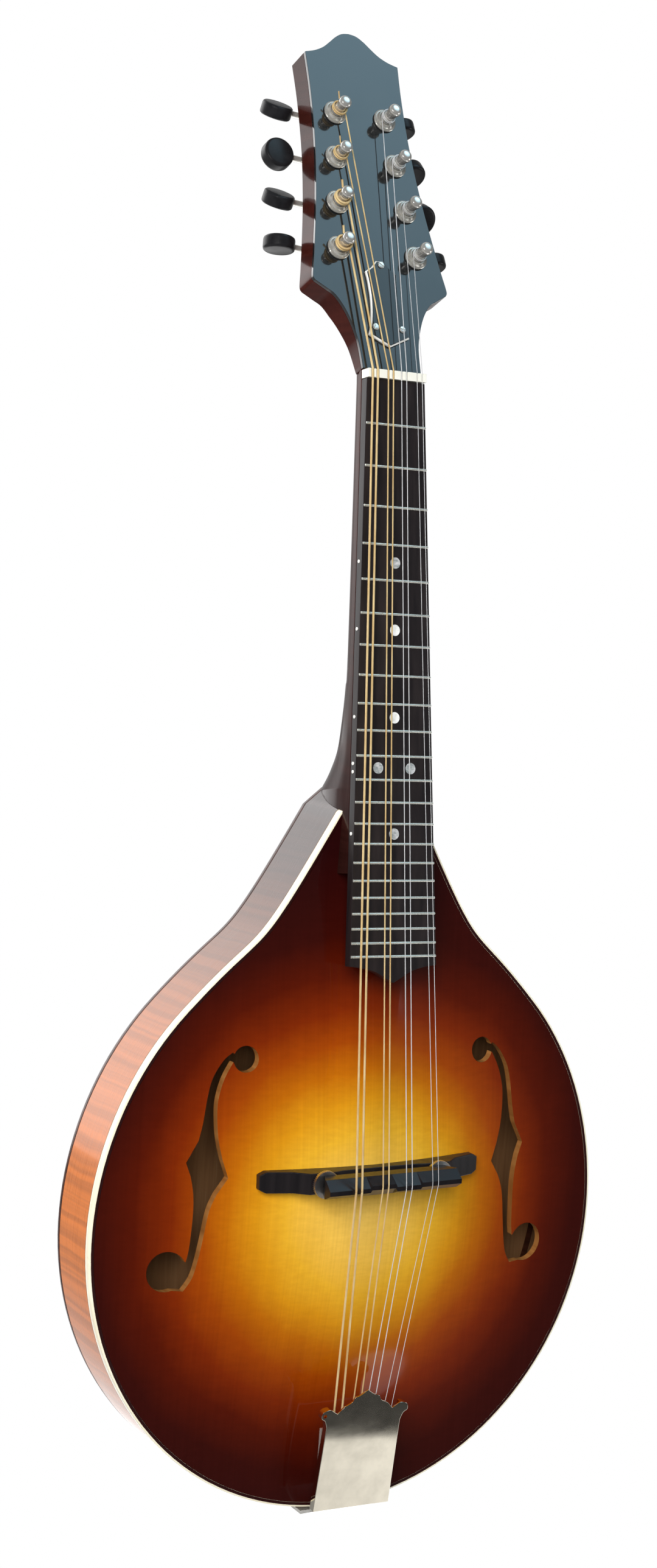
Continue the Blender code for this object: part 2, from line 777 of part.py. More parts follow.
def make_tone_bars():
    """Two splayed bars glued under the arched top."""
    for name, side in (("tone_bar_bass", -1), ("tone_bar_treble", 1)):
        sections = []
        steps = 10
        for i in range(steps + 1):
            t = i / steps
            z = JOINT.z - TONE_BAR_DROPS[0] - (TONE_BAR_DROPS[1] - TONE_BAR_DROPS[0]) * t
            x = side * (TONE_BAR_X[0] + (TONE_BAR_X[1] - TONE_BAR_X[0]) * t)
            height = TONE_BAR_TIP + (TONE_BAR_HEIGHT - TONE_BAR_TIP) * math.sin(math.pi * t)
            edges = [x - TONE_BAR_WIDTH / 2, x + TONE_BAR_WIDTH / 2]
            under = [underside(edge, z) + GAP for edge in edges]
            foot = max(under) + height
            quarter = TONE_BAR_WIDTH / 4
            sections.append(
                [
                    (edges[0], under[0], z),
                    (edges[1], under[1], z),
                    (edges[1] - quarter, foot, z),
                    (edges[0] + quarter, foot, z),
                ]
            )
        finish(loft(name, sections), (0.70, 0.50, 0.28), 0.7)


def underside(x, z):
    """The Y of the top plate's inner face, kept clear of its facets."""
    share = share_at(x, z)
    thickness = TOP_EDGE + (TOP_CENTRE - TOP_EDGE) * (1 - share)
    return RIM_FRONT - arch(share, TOP_ARCH) + thickness + GAP


def make_neck(neck_axis, head_axis):
    """Neck, heel and head in one piece of wood, with the riser that carries the board over the top."""
    seventh = fret_distance(7)
    joint = fret_distance(JOINT_FRET)
    heel = joint - HEEL_START
    bottom = RIM_DEPTH + BOARD_ABOVE_RIM
    depths = (
        (0.0, NECK_DEPTH_AT_NUT),
        (seventh, NECK_DEPTH_AT_SEVENTH),
        (heel - HEEL_FLARE[0], NECK_DEPTH_AT_SEVENTH * HEEL_FLARE[1]),
        *((heel + past, bottom * share) for past, share in HEEL_CURVE),
        (joint + RISER_LENGTH, bottom * HEEL_CURVE[-1][1]),
    )
    stations = [0.0, seventh / 3, 2 * seventh / 3] + [row[0] for row in depths[1:]]
    sections = [neck_section(-past, half, top, back - top) for past, half, top, back in UNDER_HEAD]
    sections.append(neck_section(-NUT_SHELF, NUT_WIDTH / 2, NECK_TOP, UNDER_HEAD[-1][3] - NECK_TOP))
    for distance in stations:
        depth = between(depths, distance)
        sections.append(neck_section(distance, board_half_width(distance), NECK_TOP, depth))
    neck = loft("neck", sections, neck_axis)
    shape(neck, head_core(head_axis), "UNION")
    low = top_face(0, JOINT.z - RISER_LENGTH) - GAP
    outside = inset(BODY_OUTLINE, -GAP)
    deep = RIM_BACK + HEEL_TRIM
    shape(neck, slab("body_cutter", outside, low, deep))
    below = box("heel_cutter", (-HEEL_TRIM, RIM_BACK, NOSE_Z - HEEL_TRIM), (HEEL_TRIM, deep, NOSE_Z + HEEL_TRIM))
    shape(neck, below)
    shape(neck, tenon("neck_tenon"), "UNION")
    half = TRUSS_RADIUS + GAP
    channel = box(
        "truss_cutter",
        (-half, NECK_TOP - CUT_PAST / 10, -TRUSS_END - GAP),
        (half, TRUSS_DEPTH + half, TRUSS_NUT_START),
        neck_axis,
    )
    shape(neck, channel)
    shape(neck, truss_pocket("neck_pocket_cutter", head_axis))
    shape(neck, post_holes("neck_post_cutters", head_axis))
    return finish(neck, (0.22, 0.05, 0.02), 0.25)


def neck_section(distance, half_width, top, depth):
    """Half an ellipse under a flat top, as a ring in the neck's frame."""
    ring = []
    steps = 10
    for i in range(steps + 1):
        angle = math.pi * i / steps
        ring.append((half_width * math.cos(angle), top + depth * math.sin(angle), -distance))
    return ring


def head_core(head_axis):
    """The head behind its front plate, with its back corners eased towards the neck."""
    front = HEADPLATE_THICKNESS + GAP
    sections = []
    rows = [(HEAD_OUTLINE[0][0], 2 * GAP), *HEAD_OUTLINE[1:], (HEAD_OUTLINE[-1][0] / 2, HEAD_CREST - GAP)]
    for half, along in rows:
        ease = max(HEAD_CORNER, HEAD_EASE * (1 - along / HEAD_EASE_END))
        shoulder = HEAD_THICKNESS - ease
        drawn_in = ease * min(1, half / HEAD_OUTLINE[0][0])
        sections.append(
            [
                (-half, front, along),
                (half, front, along),
                (half, shoulder, along),
                (half - drawn_in, HEAD_THICKNESS, along),
                (-half + drawn_in, HEAD_THICKNESS, along),
                (-half, shoulder, along),
            ]
        )
    return loft("head_core", sections, head_axis)


def truss_pocket(name, head_axis):
    half = TRUSS_POCKET_WIDTH / 2
    start = HEAD_FRAME.inverted() @ (NECK_FRAME @ Vector((0, TRUSS_DEPTH - TRUSS_NUT_RADIUS, TRUSS_NUT_START)))
    depth = TRUSS_DEPTH + TRUSS_NUT_RADIUS - HEAD_START[1] - TRUSS_POCKET_FLOOR
    return box(name, (-half, -CUT_PAST, start.z - TRUSS_POCKET_FLOOR), (half, depth, TRUSS_POCKET_END), head_axis)


def post_spots():
    """Each tuner's side (-1 bass), place counted from the nut, and post centre as (x, along the head)."""
    for side in (-1, 1):
        for row in range(TUNERS_PER_SIDE):
            x = FIRST_POST[0] - row * POST_PITCH * math.sin(ROW_SLANT)
            along = FIRST_POST[1] + row * POST_PITCH * math.cos(ROW_SLANT)
            yield side, row, side * x, along


def post_holes(name, head_axis):
    deep = HEAD_THICKNESS + CUT_PAST
    lines = [((x, -CUT_PAST, along), (x, deep, along)) for side, row, x, along in post_spots()]
    return rods(name, lines, HEAD_HOLE_RADIUS, head_axis, steps=10)


def make_headplate(head_axis):
    half = [*HEAD_OUTLINE, (0.0, HEAD_CREST)]
    headplate = slab("headplate", mirrored(half), 0.0, HEADPLATE_THICKNESS, head_axis)
    shape(headplate, post_holes("headplate_post_cutters", head_axis))
    low = COVER_OUTLINE[1][1] + COVER_MARGIN
    half_width = TRUSS_POCKET_WIDTH / 2
    opening = box(
        "headplate_pocket_cutter",
        (-half_width, -CUT_PAST, low),
        (half_width, CUT_PAST, TRUSS_POCKET_END),
        head_axis,
    )
    shape(headplate, opening)
    finish(headplate, (0.012, 0.013, 0.014), 0.12)
    cover = slab("truss_rod_cover", mirrored(COVER_OUTLINE), -GAP - COVER_THICKNESS, -GAP, head_axis)
    finish(cover, (0.012, 0.013, 0.014), 0.2)


def make_truss_rod(neck_axis):
    start = (0, TRUSS_DEPTH, -TRUSS_END)
    truss = rod("truss_rod", start, (0, TRUSS_DEPTH, TRUSS_NUT_START - GAP), TRUSS_RADIUS, neck_axis, steps=12)
    finish(truss, (0.5, 0.5, 0.52), 0.35, 1.0)
    nut_end = (0, 0, TRUSS_NUT_LENGTH)
    nut = rod("truss_rod_nut", (0, 0, 0), nut_end, TRUSS_NUT_RADIUS, neck_axis, steps=6)
    place(nut, neck_axis, (0, TRUSS_DEPTH, TRUSS_NUT_START))
    finish(nut, (0.72, 0.58, 0.28), 0.3, 1.0)


def make_fretboard(neck_axis):
    """The board with its frets pressed in, and its pointed end over the top plate."""
    end = fret_distance(FRET_COUNT) + BOARD_OVERHANG
    half_end = board_half_width(end)
    tip = end + BOARD_POINT
    half = [
        (NUT_WIDTH / 2, 0.0),
        (half_end, -end),
        (half_end * 0.72, -end - BOARD_POINT * 0.10),
        (half_end * 0.42, -end - BOARD_POINT * 0.34),
        (half_end * 0.18, -end - BOARD_POINT * 0.72),
        (0.0, -tip),
    ]
    board = slab("fretboard", mirrored(half), 0.0, BOARD_THICKNESS, neck_axis)
    work = bmesh.new()
    for number in range(1, FRET_COUNT + 1):
        distance = fret_distance(number)
        reach = board_half_width(distance - FRET_WIDTH) - FRET_INSET
        crown = (
            (FRET_WIDTH / 2, FRET_TANG),
            (FRET_WIDTH / 2, -FRET_HEIGHT * 0.3),
            (FRET_WIDTH / 4, -FRET_HEIGHT),
            (-FRET_WIDTH / 4, -FRET_HEIGHT),
            (-FRET_WIDTH / 2, -FRET_HEIGHT * 0.3),
            (-FRET_WIDTH / 2, FRET_TANG),
        )
        ends = [[work.verts.new((x, y, z - distance)) for z, y in crown] for x in (-reach, reach)]
        for i in range(len(crown)):
            j = (i + 1) % len(crown)
            work.faces.new((ends[0][i], ends[0][j], ends[1][j], ends[1][i]))
        work.faces.new(ends[0])
        work.faces.new(ends[1][::-1])
    shape(board, mesh_piece("frets", work, neck_axis), "UNION")
    finish(board, (0.018, 0.014, 0.012), 0.35)


def make_nut(neck_axis):
    half = NUT_WIDTH / 2
    low = (-half, -NUT_HEIGHT, GAP)
    nut = box("nut", low, (half, BOARD_THICKNESS, GAP + NUT_THICKNESS), neck_axis)
    work = bmesh.new()
    for string in strings():
        cut_half = string["radius"] + GAP
        slot = bmesh.ops.create_cube(work, size=1)["verts"]
        bmesh.ops.scale(work, vec=(2 * cut_half, NUT_THICKNESS, NUT_THICKNESS + CUT_PAST), verts=slot)
        middle = (string["nut"], GAP - NUT_STRING_REST - NUT_THICKNESS / 2, GAP + NUT_THICKNESS / 2)
        bmesh.ops.translate(work, vec=middle, verts=slot)
    shape(nut, mesh_piece("nut_slot_cutters", work, neck_axis))
    finish(nut, (0.92, 0.91, 0.86), 0.4)


def make_tuners(head_axis):
    bushing_profile = (
        (POST_HOLE_RADIUS, -GAP - WASHER_THICKNESS - BUSHING_COLLAR),
        (BUSHING_RADIUS * 0.9, -GAP - WASHER_THICKNESS - BUSHING_COLLAR),
        (WASHER_RADIUS, -GAP - WASHER_THICKNESS),
        (WASHER_RADIUS, -GAP),
        (BUSHING_RADIUS, -GAP),
        (BUSHING_RADIUS, BUSHING_SLEEVE),
        (POST_HOLE_RADIUS, BUSHING_SLEEVE),
    )
    bushing = turned("bushing_pattern", [(r, -d) for r, d in bushing_profile], 12, ring=True)
    settle(bushing)
    post = make_post_pattern()
    button = make_button_pattern()
    turns = {-1: BASS_TURNS, 1: TREBLE_TURNS}
    inwards = math.pi / 2
    for side, row, x, along in post_spots():
        label = f"{'bass' if side < 0 else 'treble'}_{row + 1}"
        piece = copy_piece(f"tuner_bushing_{label}", bushing, head_axis, (x, 0, along), (inwards, 0, 0))
        finish(piece, (0.75, 0.75, 0.74), 0.15, 1.0)
        piece = copy_piece(f"tuner_post_{label}", post, head_axis, (x, 0, along), (inwards, 0, 0))
        finish(piece, (0.75, 0.75, 0.74), 0.15, 1.0)
        shaft_x = x - side * WORM_OFFSET * math.sin(ROW_SLANT)
        shaft_along = along + WORM_OFFSET * math.cos(ROW_SLANT)
        outwards = -ROW_SLANT if side > 0 else math.pi + ROW_SLANT
        turn = math.radians(turns[side][row])
        spot = (shaft_x, WORM_DEPTH, shaft_along)
        piece = copy_piece(f"tuner_button_{label}", button, head_axis, spot, (turn, outwards, 0))
        finish(piece, (0.02, 0.02, 0.02), 0.3)
    for pattern in (bushing, post, button):
        bpy.data.objects.remove(pattern)
    for side, name in ((-1, "tuner_plate_bass"), (1, "tuner_plate_treble")):
        make_tuner_plate(name, side, head_axis)


def make_post_pattern():
    """A string post with its gear, standing along Z with its top up."""
    profile = (
        (0, POST_RISE),
        (POST_RADIUS * 0.75, POST_RISE),
        (POST_RADIUS, POST_RISE - 2 * POST_EASE),
        (POST_RADIUS, POST_RISE - POST_CAP + POST_EASE),
        (POST_WAIST, POST_RISE - POST_CAP),
        (POST_WAIST, POST_SHOULDER + POST_EASE),
        (POST_RADIUS, POST_SHOULDER),
        (POST_RADIUS, -WORM_DEPTH - GEAR_THICKNESS * 0.8),
        (0, -WORM_DEPTH - GEAR_THICKNESS * 0.8),
    )
    post = turned("post_pattern", profile, 12)
    work = bmesh.new()
    teeth = 2 * GEAR_TEETH
    for height in (-WORM_DEPTH - GEAR_THICKNESS / 2, -WORM_DEPTH + GEAR_THICKNESS / 2):
        ring = []
        for i in range(teeth):
            radius = GEAR_RADIUS - (i % 2) * GEAR_TOOTH
            angle = math.tau * i / teeth
            ring.append(work.verts.new((radius * math.cos(angle), radius * math.sin(angle), height)))
        work.faces.new(ring)
    work.verts.ensure_lookup_table()
    for i in range(teeth):
        j = (i + 1) % teeth
        work.faces.new((work.verts[i], work.verts[j], work.verts[teeth + j], work.verts[teeth + i]))
    shape(post, mesh_piece("gear", work), "UNION")
    return settle(post)


def make_button_pattern():
    """A button on its worm shaft, which runs along X with the worm at the middle."""
    half = BUTTON_THICKNESS / 2
    profile = (
        (0, half),
        (BUTTON_RADIUS * 0.8, half),
        (BUTTON_RADIUS, half * 0.45),
        (BUTTON_RADIUS, -half * 0.45),
        (BUTTON_RADIUS * 0.8, -half),
        (0, -half),
    )
    disc = turned("disc", profile, 14)
    place(disc, None, (BUTTON_REACH, 0, 0), (math.pi / 2, 0, 0))
    inner_end = -EAR_PLACE - EAR_THICKNESS / 2 - 2 * RUNNING_GAP
    button = rod("button_pattern", (inner_end, 0, 0), (BUTTON_REACH, 0, 0), SHAFT_RADIUS, steps=8)
    worm_half = WORM_LENGTH / 2
    worm = rod("worm", (-worm_half, 0, 0), (worm_half, 0, 0), WORM_RADIUS, steps=8)
    shape(button, worm, "UNION")
    shape(button, disc, "UNION")
    return settle(button)


def make_tuner_plate(name, side, head_axis):
    """The strip behind the head, with two bearing ears to each worm shaft."""
    back = HEAD_THICKNESS + GAP
    face = back + PLATE_THICKNESS
    run = (TUNERS_PER_SIDE - 1) * POST_PITCH
    half = PLATE_WIDTH / 2
    plate = box(name, (-half, back, -PLATE_MARGIN), (half, face, run + WORM_OFFSET + PLATE_MARGIN))
    ears = bmesh.new()
    ear_cut = (-2 * EAR_THICKNESS, 2 * EAR_THICKNESS)
    bores = []
    holes = []
    for row in range(TUNERS_PER_SIDE):
        along = row * POST_PITCH
        holes.append(((0, back - CUT_PAST, along), (0, face + CUT_PAST, along)))
        for end in (-1, 1):
            ear = bmesh.ops.create_cube(ears, size=1)["verts"]
            depth = WORM_DEPTH + EAR_SIZE / 2 - back - PLATE_THICKNESS / 2
            bmesh.ops.scale(ears, vec=(EAR_THICKNESS, depth, EAR_SIZE), verts=ear)
            middle = (end * EAR_PLACE, back + PLATE_THICKNESS / 2 + depth / 2, along + WORM_OFFSET)
            bmesh.ops.translate(ears, vec=middle, verts=ear)
            sides = [(end * EAR_PLACE + reach, WORM_DEPTH, along + WORM_OFFSET) for reach in ear_cut]
            bores.append(sides)
    spot = (side * FIRST_POST[0], 0, FIRST_POST[1])
    turn = (0, -side * ROW_SLANT, 0)
    tools = (
        (mesh_piece(f"{name}_ears", ears), "UNION"),
        (rods(f"{name}_bore_cutters", bores, SHAFT_RADIUS + RUNNING_GAP * 1.5, steps=8), "DIFFERENCE"),
        (rods(f"{name}_post_cutters", holes, POST_HOLE_RADIUS + RUNNING_GAP / 2, steps=10), "DIFFERENCE"),
    )
    for tool, operation in tools:
        shape(plate, place(tool, head_axis, spot, turn), operation)
    place(plate, head_axis, spot, turn)
    finish(plate, (0.75, 0.75, 0.74), 0.2, 1.0)


def make_bridge(bridge_axis):
    """Base, posts, thumbwheels and saddle, in a frame whose -Y stands out from the top plate."""
    origin = bridge_axis.location
    pad_x = WHEEL_SPACING / 2
    surface = top_face(pad_x, origin.z) - origin.y
    pad = surface - BASE_PAD_HEIGHT
    half_length = BASE_LENGTH / 2
    end_height = BASE_END_HEIGHT
    pad_in, pad_out = pad_x - BASE_PAD_HALF, pad_x + BASE_PAD_HALF
    dip_in, dip_out = pad_in - BASE_PAD_EASES[0], pad_out + BASE_PAD_EASES[1]
    ends = [half_length - ease for ease in BASE_END_EASES]
    crest = (
        (0.0, pad + BASE_DIPS[0]),
        (dip_in, pad + BASE_DIPS[1]),
        (pad_in, pad),
        (pad_out, pad),
        (dip_out, pad + BASE_DIPS[2]),
        (ends[1], top_face(ends[1], origin.z) - origin.y - end_height),
        (half_length, top_face(half_length, origin.z) - origin.y - end_height + BASE_END_DROP),
    )
    places = [0.0, dip_in / 2, dip_in, pad_in, pad_out, dip_out, ends[0], ends[2], half_length]
    places = [-x for x in places[:0:-1]] + places
    turn = Matrix.Rotation(BRIDGE_SLANT, 4, "Y")
    sections = []
    for x in places:
        near_end = abs(x) > ends[2]
        half_width = BASE_WIDTH / 2 - (BASE_END_TAPER if near_end else 0)
        foot = []
        for z in (-half_width, half_width):
            spot = turn @ Vector((x, 0, z))
            foot.append(top_face(spot.x, origin.z + spot.z) - origin.y - GAP * 1.5)
        high = between(crest, abs(x))
        corners = [(x, foot[0], -half_width), (x, foot[1], half_width), (x, high, half_width)]
        sections.append(corners + [(x, high, -half_width)])
    base = loft("bridge_base", sections, bridge_axis)
    sink = pad + BRIDGE_POST_SINK
    holes = [((s * pad_x, pad - CUT_PAST, 0), (s * pad_x, sink + GAP, 0)) for s in (-1, 1)]
    shape(base, rods("base_post_cutters", holes, BRIDGE_POST_RADIUS + GAP, bridge_axis, steps=12))
    finish(base, (0.02, 0.018, 0.018), 0.3)
    wheel_back = pad - WHEEL_CLEARANCE
    wheel_front = wheel_back - WHEEL_THICKNESS
    saddle_foot = wheel_front - GAP
    for name, side in (("bass", -1), ("treble", 1)):
        start = (side * pad_x, sink, 0)
        end = (side * pad_x, saddle_foot - BRIDGE_POST_RISE, 0)
        post = rod(f"bridge_post_{name}", start, end, BRIDGE_POST_RADIUS, bridge_axis, steps=12)
        finish(post, (0.7, 0.7, 0.7), 0.25, 1.0)
        bore = BRIDGE_POST_RADIUS + RUNNING_GAP
        profile = (
            (bore, WHEEL_THICKNESS),
            (WHEEL_RADIUS, WHEEL_THICKNESS),
            (WHEEL_RADIUS, 0),
            (bore, 0),
        )
        wheel = turned(f"thumbwheel_{name}", profile, WHEEL_NOTCHES, ring=True)
        place(wheel, bridge_axis, (side * pad_x, wheel_back, 0), (math.pi / 2, 0, 0))
        finish(wheel, (0.72, 0.72, 0.72), 0.25, 1.0)
    make_saddle(bridge_axis, saddle_foot, pad_x)


def make_saddle(bridge_axis, foot, pad_x):
    """The saddle: a stepped ridge for the four courses over a body with cut-back ends."""
    crown = SADDLE_TOP - bridge_axis.location.y
    shoulder = crown + SADDLE_SHOULDER
    half_length = SADDLE_LENGTH / 2
    half_width = SADDLE_WIDTH / 2
    course_edge = (OUTER_PAIR_AT_BRIDGE + INNER_PAIR_AT_BRIDGE) / 2
    bounds = (-half_length, -course_edge, 0.0, course_edge, half_length)
    step = SADDLE_STEP_RUN
    sections = []
    for k, ridge in enumerate(SADDLE_STEPS):
        start, end = bounds[k] + step, bounds[k + 1] - step
        stops = [start, end]
        if k == 0:
            stops = [start - step, -half_length + SADDLE_END_CUT, end]
        if k == len(SADDLE_STEPS) - 1:
            stops = [start, half_length - SADDLE_END_CUT, end + step]
        for x in stops:
            low = shoulder - SADDLE_END_LIP if abs(x) > half_length - step else foot
            sections.append(
                [
                    (x, low, -half_width),
                    (x, low, half_width),
                    (x, shoulder - SADDLE_CHAMFER, half_width),
                    (x, crown, ridge + SADDLE_RIDGE / 2),
                    (x, crown, ridge - SADDLE_RIDGE / 2),
                    (x, shoulder - SADDLE_CHAMFER, -half_width),
                ]
            )
    saddle = loft("bridge_saddle", sections, bridge_axis)
    top = foot - BRIDGE_POST_RISE - RUNNING_GAP - BRIDGE_POST_HEADROOM
    holes = [((s * pad_x, foot + CUT_PAST / 5, 0), (s * pad_x, top, 0)) for s in (-1, 1)]
    shape(saddle, rods("saddle_post_cutters", holes, BRIDGE_POST_RADIUS + RUNNING_GAP, bridge_axis, steps=12))
    finish(saddle, (0.02, 0.018, 0.018), 0.3)


def make_tailpiece():
    """The bent base with its hooks, and the cover that slides over them."""
    front = HOOK_PLATE_FRONT
    back = front + BASE_SHEET
    top = LEG_FRONT_Z + HOOK_PLATE_LENGTH
    low = LEG_FRONT_Z - BASE_SHEET
    plate_end = TAIL_Z + TAIL_COVER_RISE - BASE_SHEET * 0.4
    end = PIN_Y + LEG_BELOW_PIN
    half = HOOK_PLATE_HALF_WIDTH
    profile = (
        (front, top),
        (front, plate_end),
        (RIM_FRONT - BASE_SHEET, low),
        (end, low),
        (end, LEG_FRONT_Z),
        (RIM_FRONT - BASE_SHEET * 0.6, LEG_FRONT_Z),
        (back, plate_end + BASE_SHEET * 0.6),
        (back, top),
    )
    base = loft("tailpiece_base", [[(x, y, z) for y, z in profile] for x in (-half, half)])
    hook_lines = []
    for string in strings():
        x = string["hook"]
        hook_lines.append(((x, back - BASE_SHEET / 2, HOOK_Z), (x, front - HOOK_HEIGHT, HOOK_Z)))
    shape(base, rods("hooks", hook_lines, HOOK_RADIUS, steps=6), "UNION")
    shape(base, pin_hole("base_pin_cutter", LEG_FRONT_Z))
    finish(base, (0.72, 0.72, 0.72), 0.25, 1.0)
    lid_axis = add_empty("cover_axis", tail_cover_frame())
    half = [*TAIL_COVER_OUTLINE, (0.0, TAIL_COVER_CREST)]
    cover = slab("tailpiece_cover", mirrored(half), 0.0, TAIL_COVER_FLANGE, lid_axis)
    inner = TAIL_COVER_OUTLINE[1][0] - TAIL_COVER_THICKNESS
    hollow = box(
        "cover_cutter",
        (-inner, TAIL_COVER_THICKNESS, -CUT_PAST),
        (inner, TAIL_COVER_FLANGE + CUT_PAST, TAIL_COVER_CREST + CUT_PAST),
        lid_axis,
    )
    shape(cover, hollow)
    finish(cover, (0.78, 0.78, 0.77), 0.12, 1.0)


def tail_cover_frame():
    """The cover's frame: its lower edge at the origin, sloping up towards the bridge."""
    front = HOOK_PLATE_FRONT - TAIL_COVER_CLEARANCE - TAIL_COVER_THICKNESS
    spot = Matrix.Translation((0, front, TAIL_Z + TAIL_COVER_RISE))
    return spot @ Matrix.Rotation(TAIL_COVER_SLOPE, 4, "X")


def make_end_pin():
    low = LEG_FRONT_Z - BASE_SHEET - GAP
    profile = (
        (0, PIN_DEPTH),
        (PIN_RADIUS, PIN_DEPTH),
        (PIN_RADIUS, 0),
        (PIN_HEAD_RADIUS * 0.66, 0),
        (PIN_HEAD_RADIUS * 0.66, -PIN_HEAD_LENGTH * 0.45),
        (PIN_HEAD_RADIUS, -PIN_HEAD_LENGTH * 0.6),
        (PIN_HEAD_RADIUS, -PIN_HEAD_LENGTH * 0.85),
        (PIN_HEAD_RADIUS * 0.8, -PIN_HEAD_LENGTH),
        (0, -PIN_HEAD_LENGTH),
    )
    pin = turned("end_pin", profile)
    place(pin, None, (0, PIN_Y, low))
    finish(pin, (0.03, 0.025, 0.022), 0.35)


def strings():
    """Each string's name, radius, tuner and its places at the nut, the bridge and the tail."""
    found = []
    hook = HOOK_SPACING / 2
    ridges = dict(zip("gdae", SADDLE_STEPS))
    for letter, diameter, side, outer in COURSES:
        nut = OUTER_PAIR_AT_NUT if outer else INNER_PAIR_AT_NUT
        bridge = OUTER_PAIR_AT_BRIDGE if outer else INNER_PAIR_AT_BRIDGE
        for k in (1, 0):
            lane = 2 * outer + k
            found.append(
                {
                    "name": f"string_{letter}_{'outer' if k else 'inner'}",
                    "radius": diameter / 2,
                    "side": side,
                    "tuner": 3 - lane,
                    "nut": side * (nut + (k - 0.5) * PAIR_GAP_AT_NUT),
                    "bridge": side * (bridge + (k - 0.5) * PAIR_GAP_AT_BRIDGE),
                    "hook": side * (hook + lane * HOOK_SPACING),
                    "ridge": ridges[letter],
                }
            )
    return found


def winding(string, nut_point):
    """The string's turns round its post, from the free end to the point where it leaves for the nut."""
    spots = {(side, row): (x, along) for side, row, x, along in post_spots()}
    centre = Vector(spots[string["side"], string["tuner"]])
    reach = POST_WAIST + WINDING_GAP + string["radius"]
    goal = HEAD_FRAME.inverted() @ nut_point
    goal = Vector((goal.x, goal.z))
    towards = (goal - centre).normalized()
    inner = Vector((towards.y, -towards.x))
    if inner.x * string["side"] > 0:
        inner = -inner
    leave = centre + inner * reach
    towards = (goal - leave).normalized()
    inner = Vector((towards.y, -towards.x))
    if inner.x * string["side"] > 0:
        inner = -inner
    start = math.atan2(inner.y, inner.x)
    spin = -string["side"]
    pitch = 2 * string["radius"] + WINDING_GAP
    low = POST_SHOULDER + POST_EASE + string["radius"] + GAP
    count = round(WINDING_TURNS * WINDING_POINTS)
    turns = []
    for i in range(count + 1):
        angle = start + spin * math.tau * i / WINDING_POINTS
        height = low + pitch * i / WINDING_POINTS
        flat = centre + reach * Vector((math.cos(angle), math.sin(angle)))
        turns.append(HEAD_FRAME @ Vector((flat.x, -height, flat.y)))
    return turns[::-1]


def string_points(string):
    """The string's middle line from its tuner to its tail hook, and where its end loop starts."""
    radius = string["radius"]
    rest = -NUT_STRING_REST - radius
    front = NECK_FRAME @ Vector((string["nut"], rest, GAP + NUT_THICKNESS))
    back = NECK_FRAME @ Vector((string["nut"], rest, GAP))
    turn = Matrix.Rotation(BRIDGE_SLANT, 4, "Y")
    ridge = turn @ Vector((string["bridge"], 0, string["ridge"]))
    over = Vector((ridge.x, SADDLE_TOP - GAP - radius, BRIDGE_POINT.z + ridge.z))
    before = over + Vector((0, 0, SADDLE_RIDGE * 0.4))
    after = over - Vector((0, 0, SADDLE_RIDGE * 0.4))
    bend = HOOK_RADIUS + WINDING_GAP + radius * 0.6
    side = string["side"]
    height = HOOK_PLATE_FRONT - STRING_ABOVE_PLATE
    points = winding(string, front) + [front, back, before, after]
    loop_start = len(points)
    for i in range(LOOP_POINTS + 1):
        angle = math.pi * i / LOOP_POINTS
        x = string["hook"] - side * bend * math.cos(angle)
        points.append(Vector((x, height, HOOK_Z - bend * math.sin(angle))))
    points.append(points[-1] + Vector((0, 0, LOOP_TAIL)))
    return points, loop_start


def least_gap(string, points):
    """The least gap between the string's turns round its post, measured on points along its middle line."""
    count = round(WINDING_TURNS * WINDING_POINTS) + 1
    fine = []
    for start, end in zip(points[: count - 1], points[1:count]):
        fine.extend(start.lerp(end, i / FINE_STEPS) for i in range(FINE_STEPS))
    apart = WINDING_POINTS * FINE_STEPS * 2 // 3
    nearest = min((fine[i] - fine[j]).length for i in range(len(fine)) for j in range(i + apart, len(fine)))
    return nearest - 2 * string["radius"]


def make_strings():
    for string in strings():
        points, loop_start = string_points(string)
        wire = tube(string["name"], points, string["radius"], loop_start, LOOP_SHARE)
        coat(wire, BRONZE if string["side"] < 0 else STEEL, 0.25, 1.0)
        print(f"{string['name']}: least gap between turns {least_gap(string, points) * 1000:.2f} mm")


def main():
    clear_scene()
    neck_axis = add_empty("neck_axis", NECK_FRAME)
    head_axis = add_empty("head_axis", HEAD_FRAME)
    slant = Matrix.Translation(BRIDGE_POINT) @ Matrix.Rotation(BRIDGE_SLANT, 4, "Y")
    bridge_axis = add_empty("bridge_axis", slant)
    make_top()
    make_back()
    make_rim()
    make_binding()
    make_blocks()
    make_tone_bars()
    make_neck(neck_axis, head_axis)
    make_fretboard(neck_axis)
    make_nut(neck_axis)
    make_headplate(head_axis)
    make_truss_rod(neck_axis)
    make_tuners(head_axis)
    make_bridge(bridge_axis)
    make_tailpiece()
    make_end_pin()
    make_strings()


main()
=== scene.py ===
import math

import bmesh
import bpy
from mathutils import Matrix, Vector
from mathutils.kdtree import KDTree


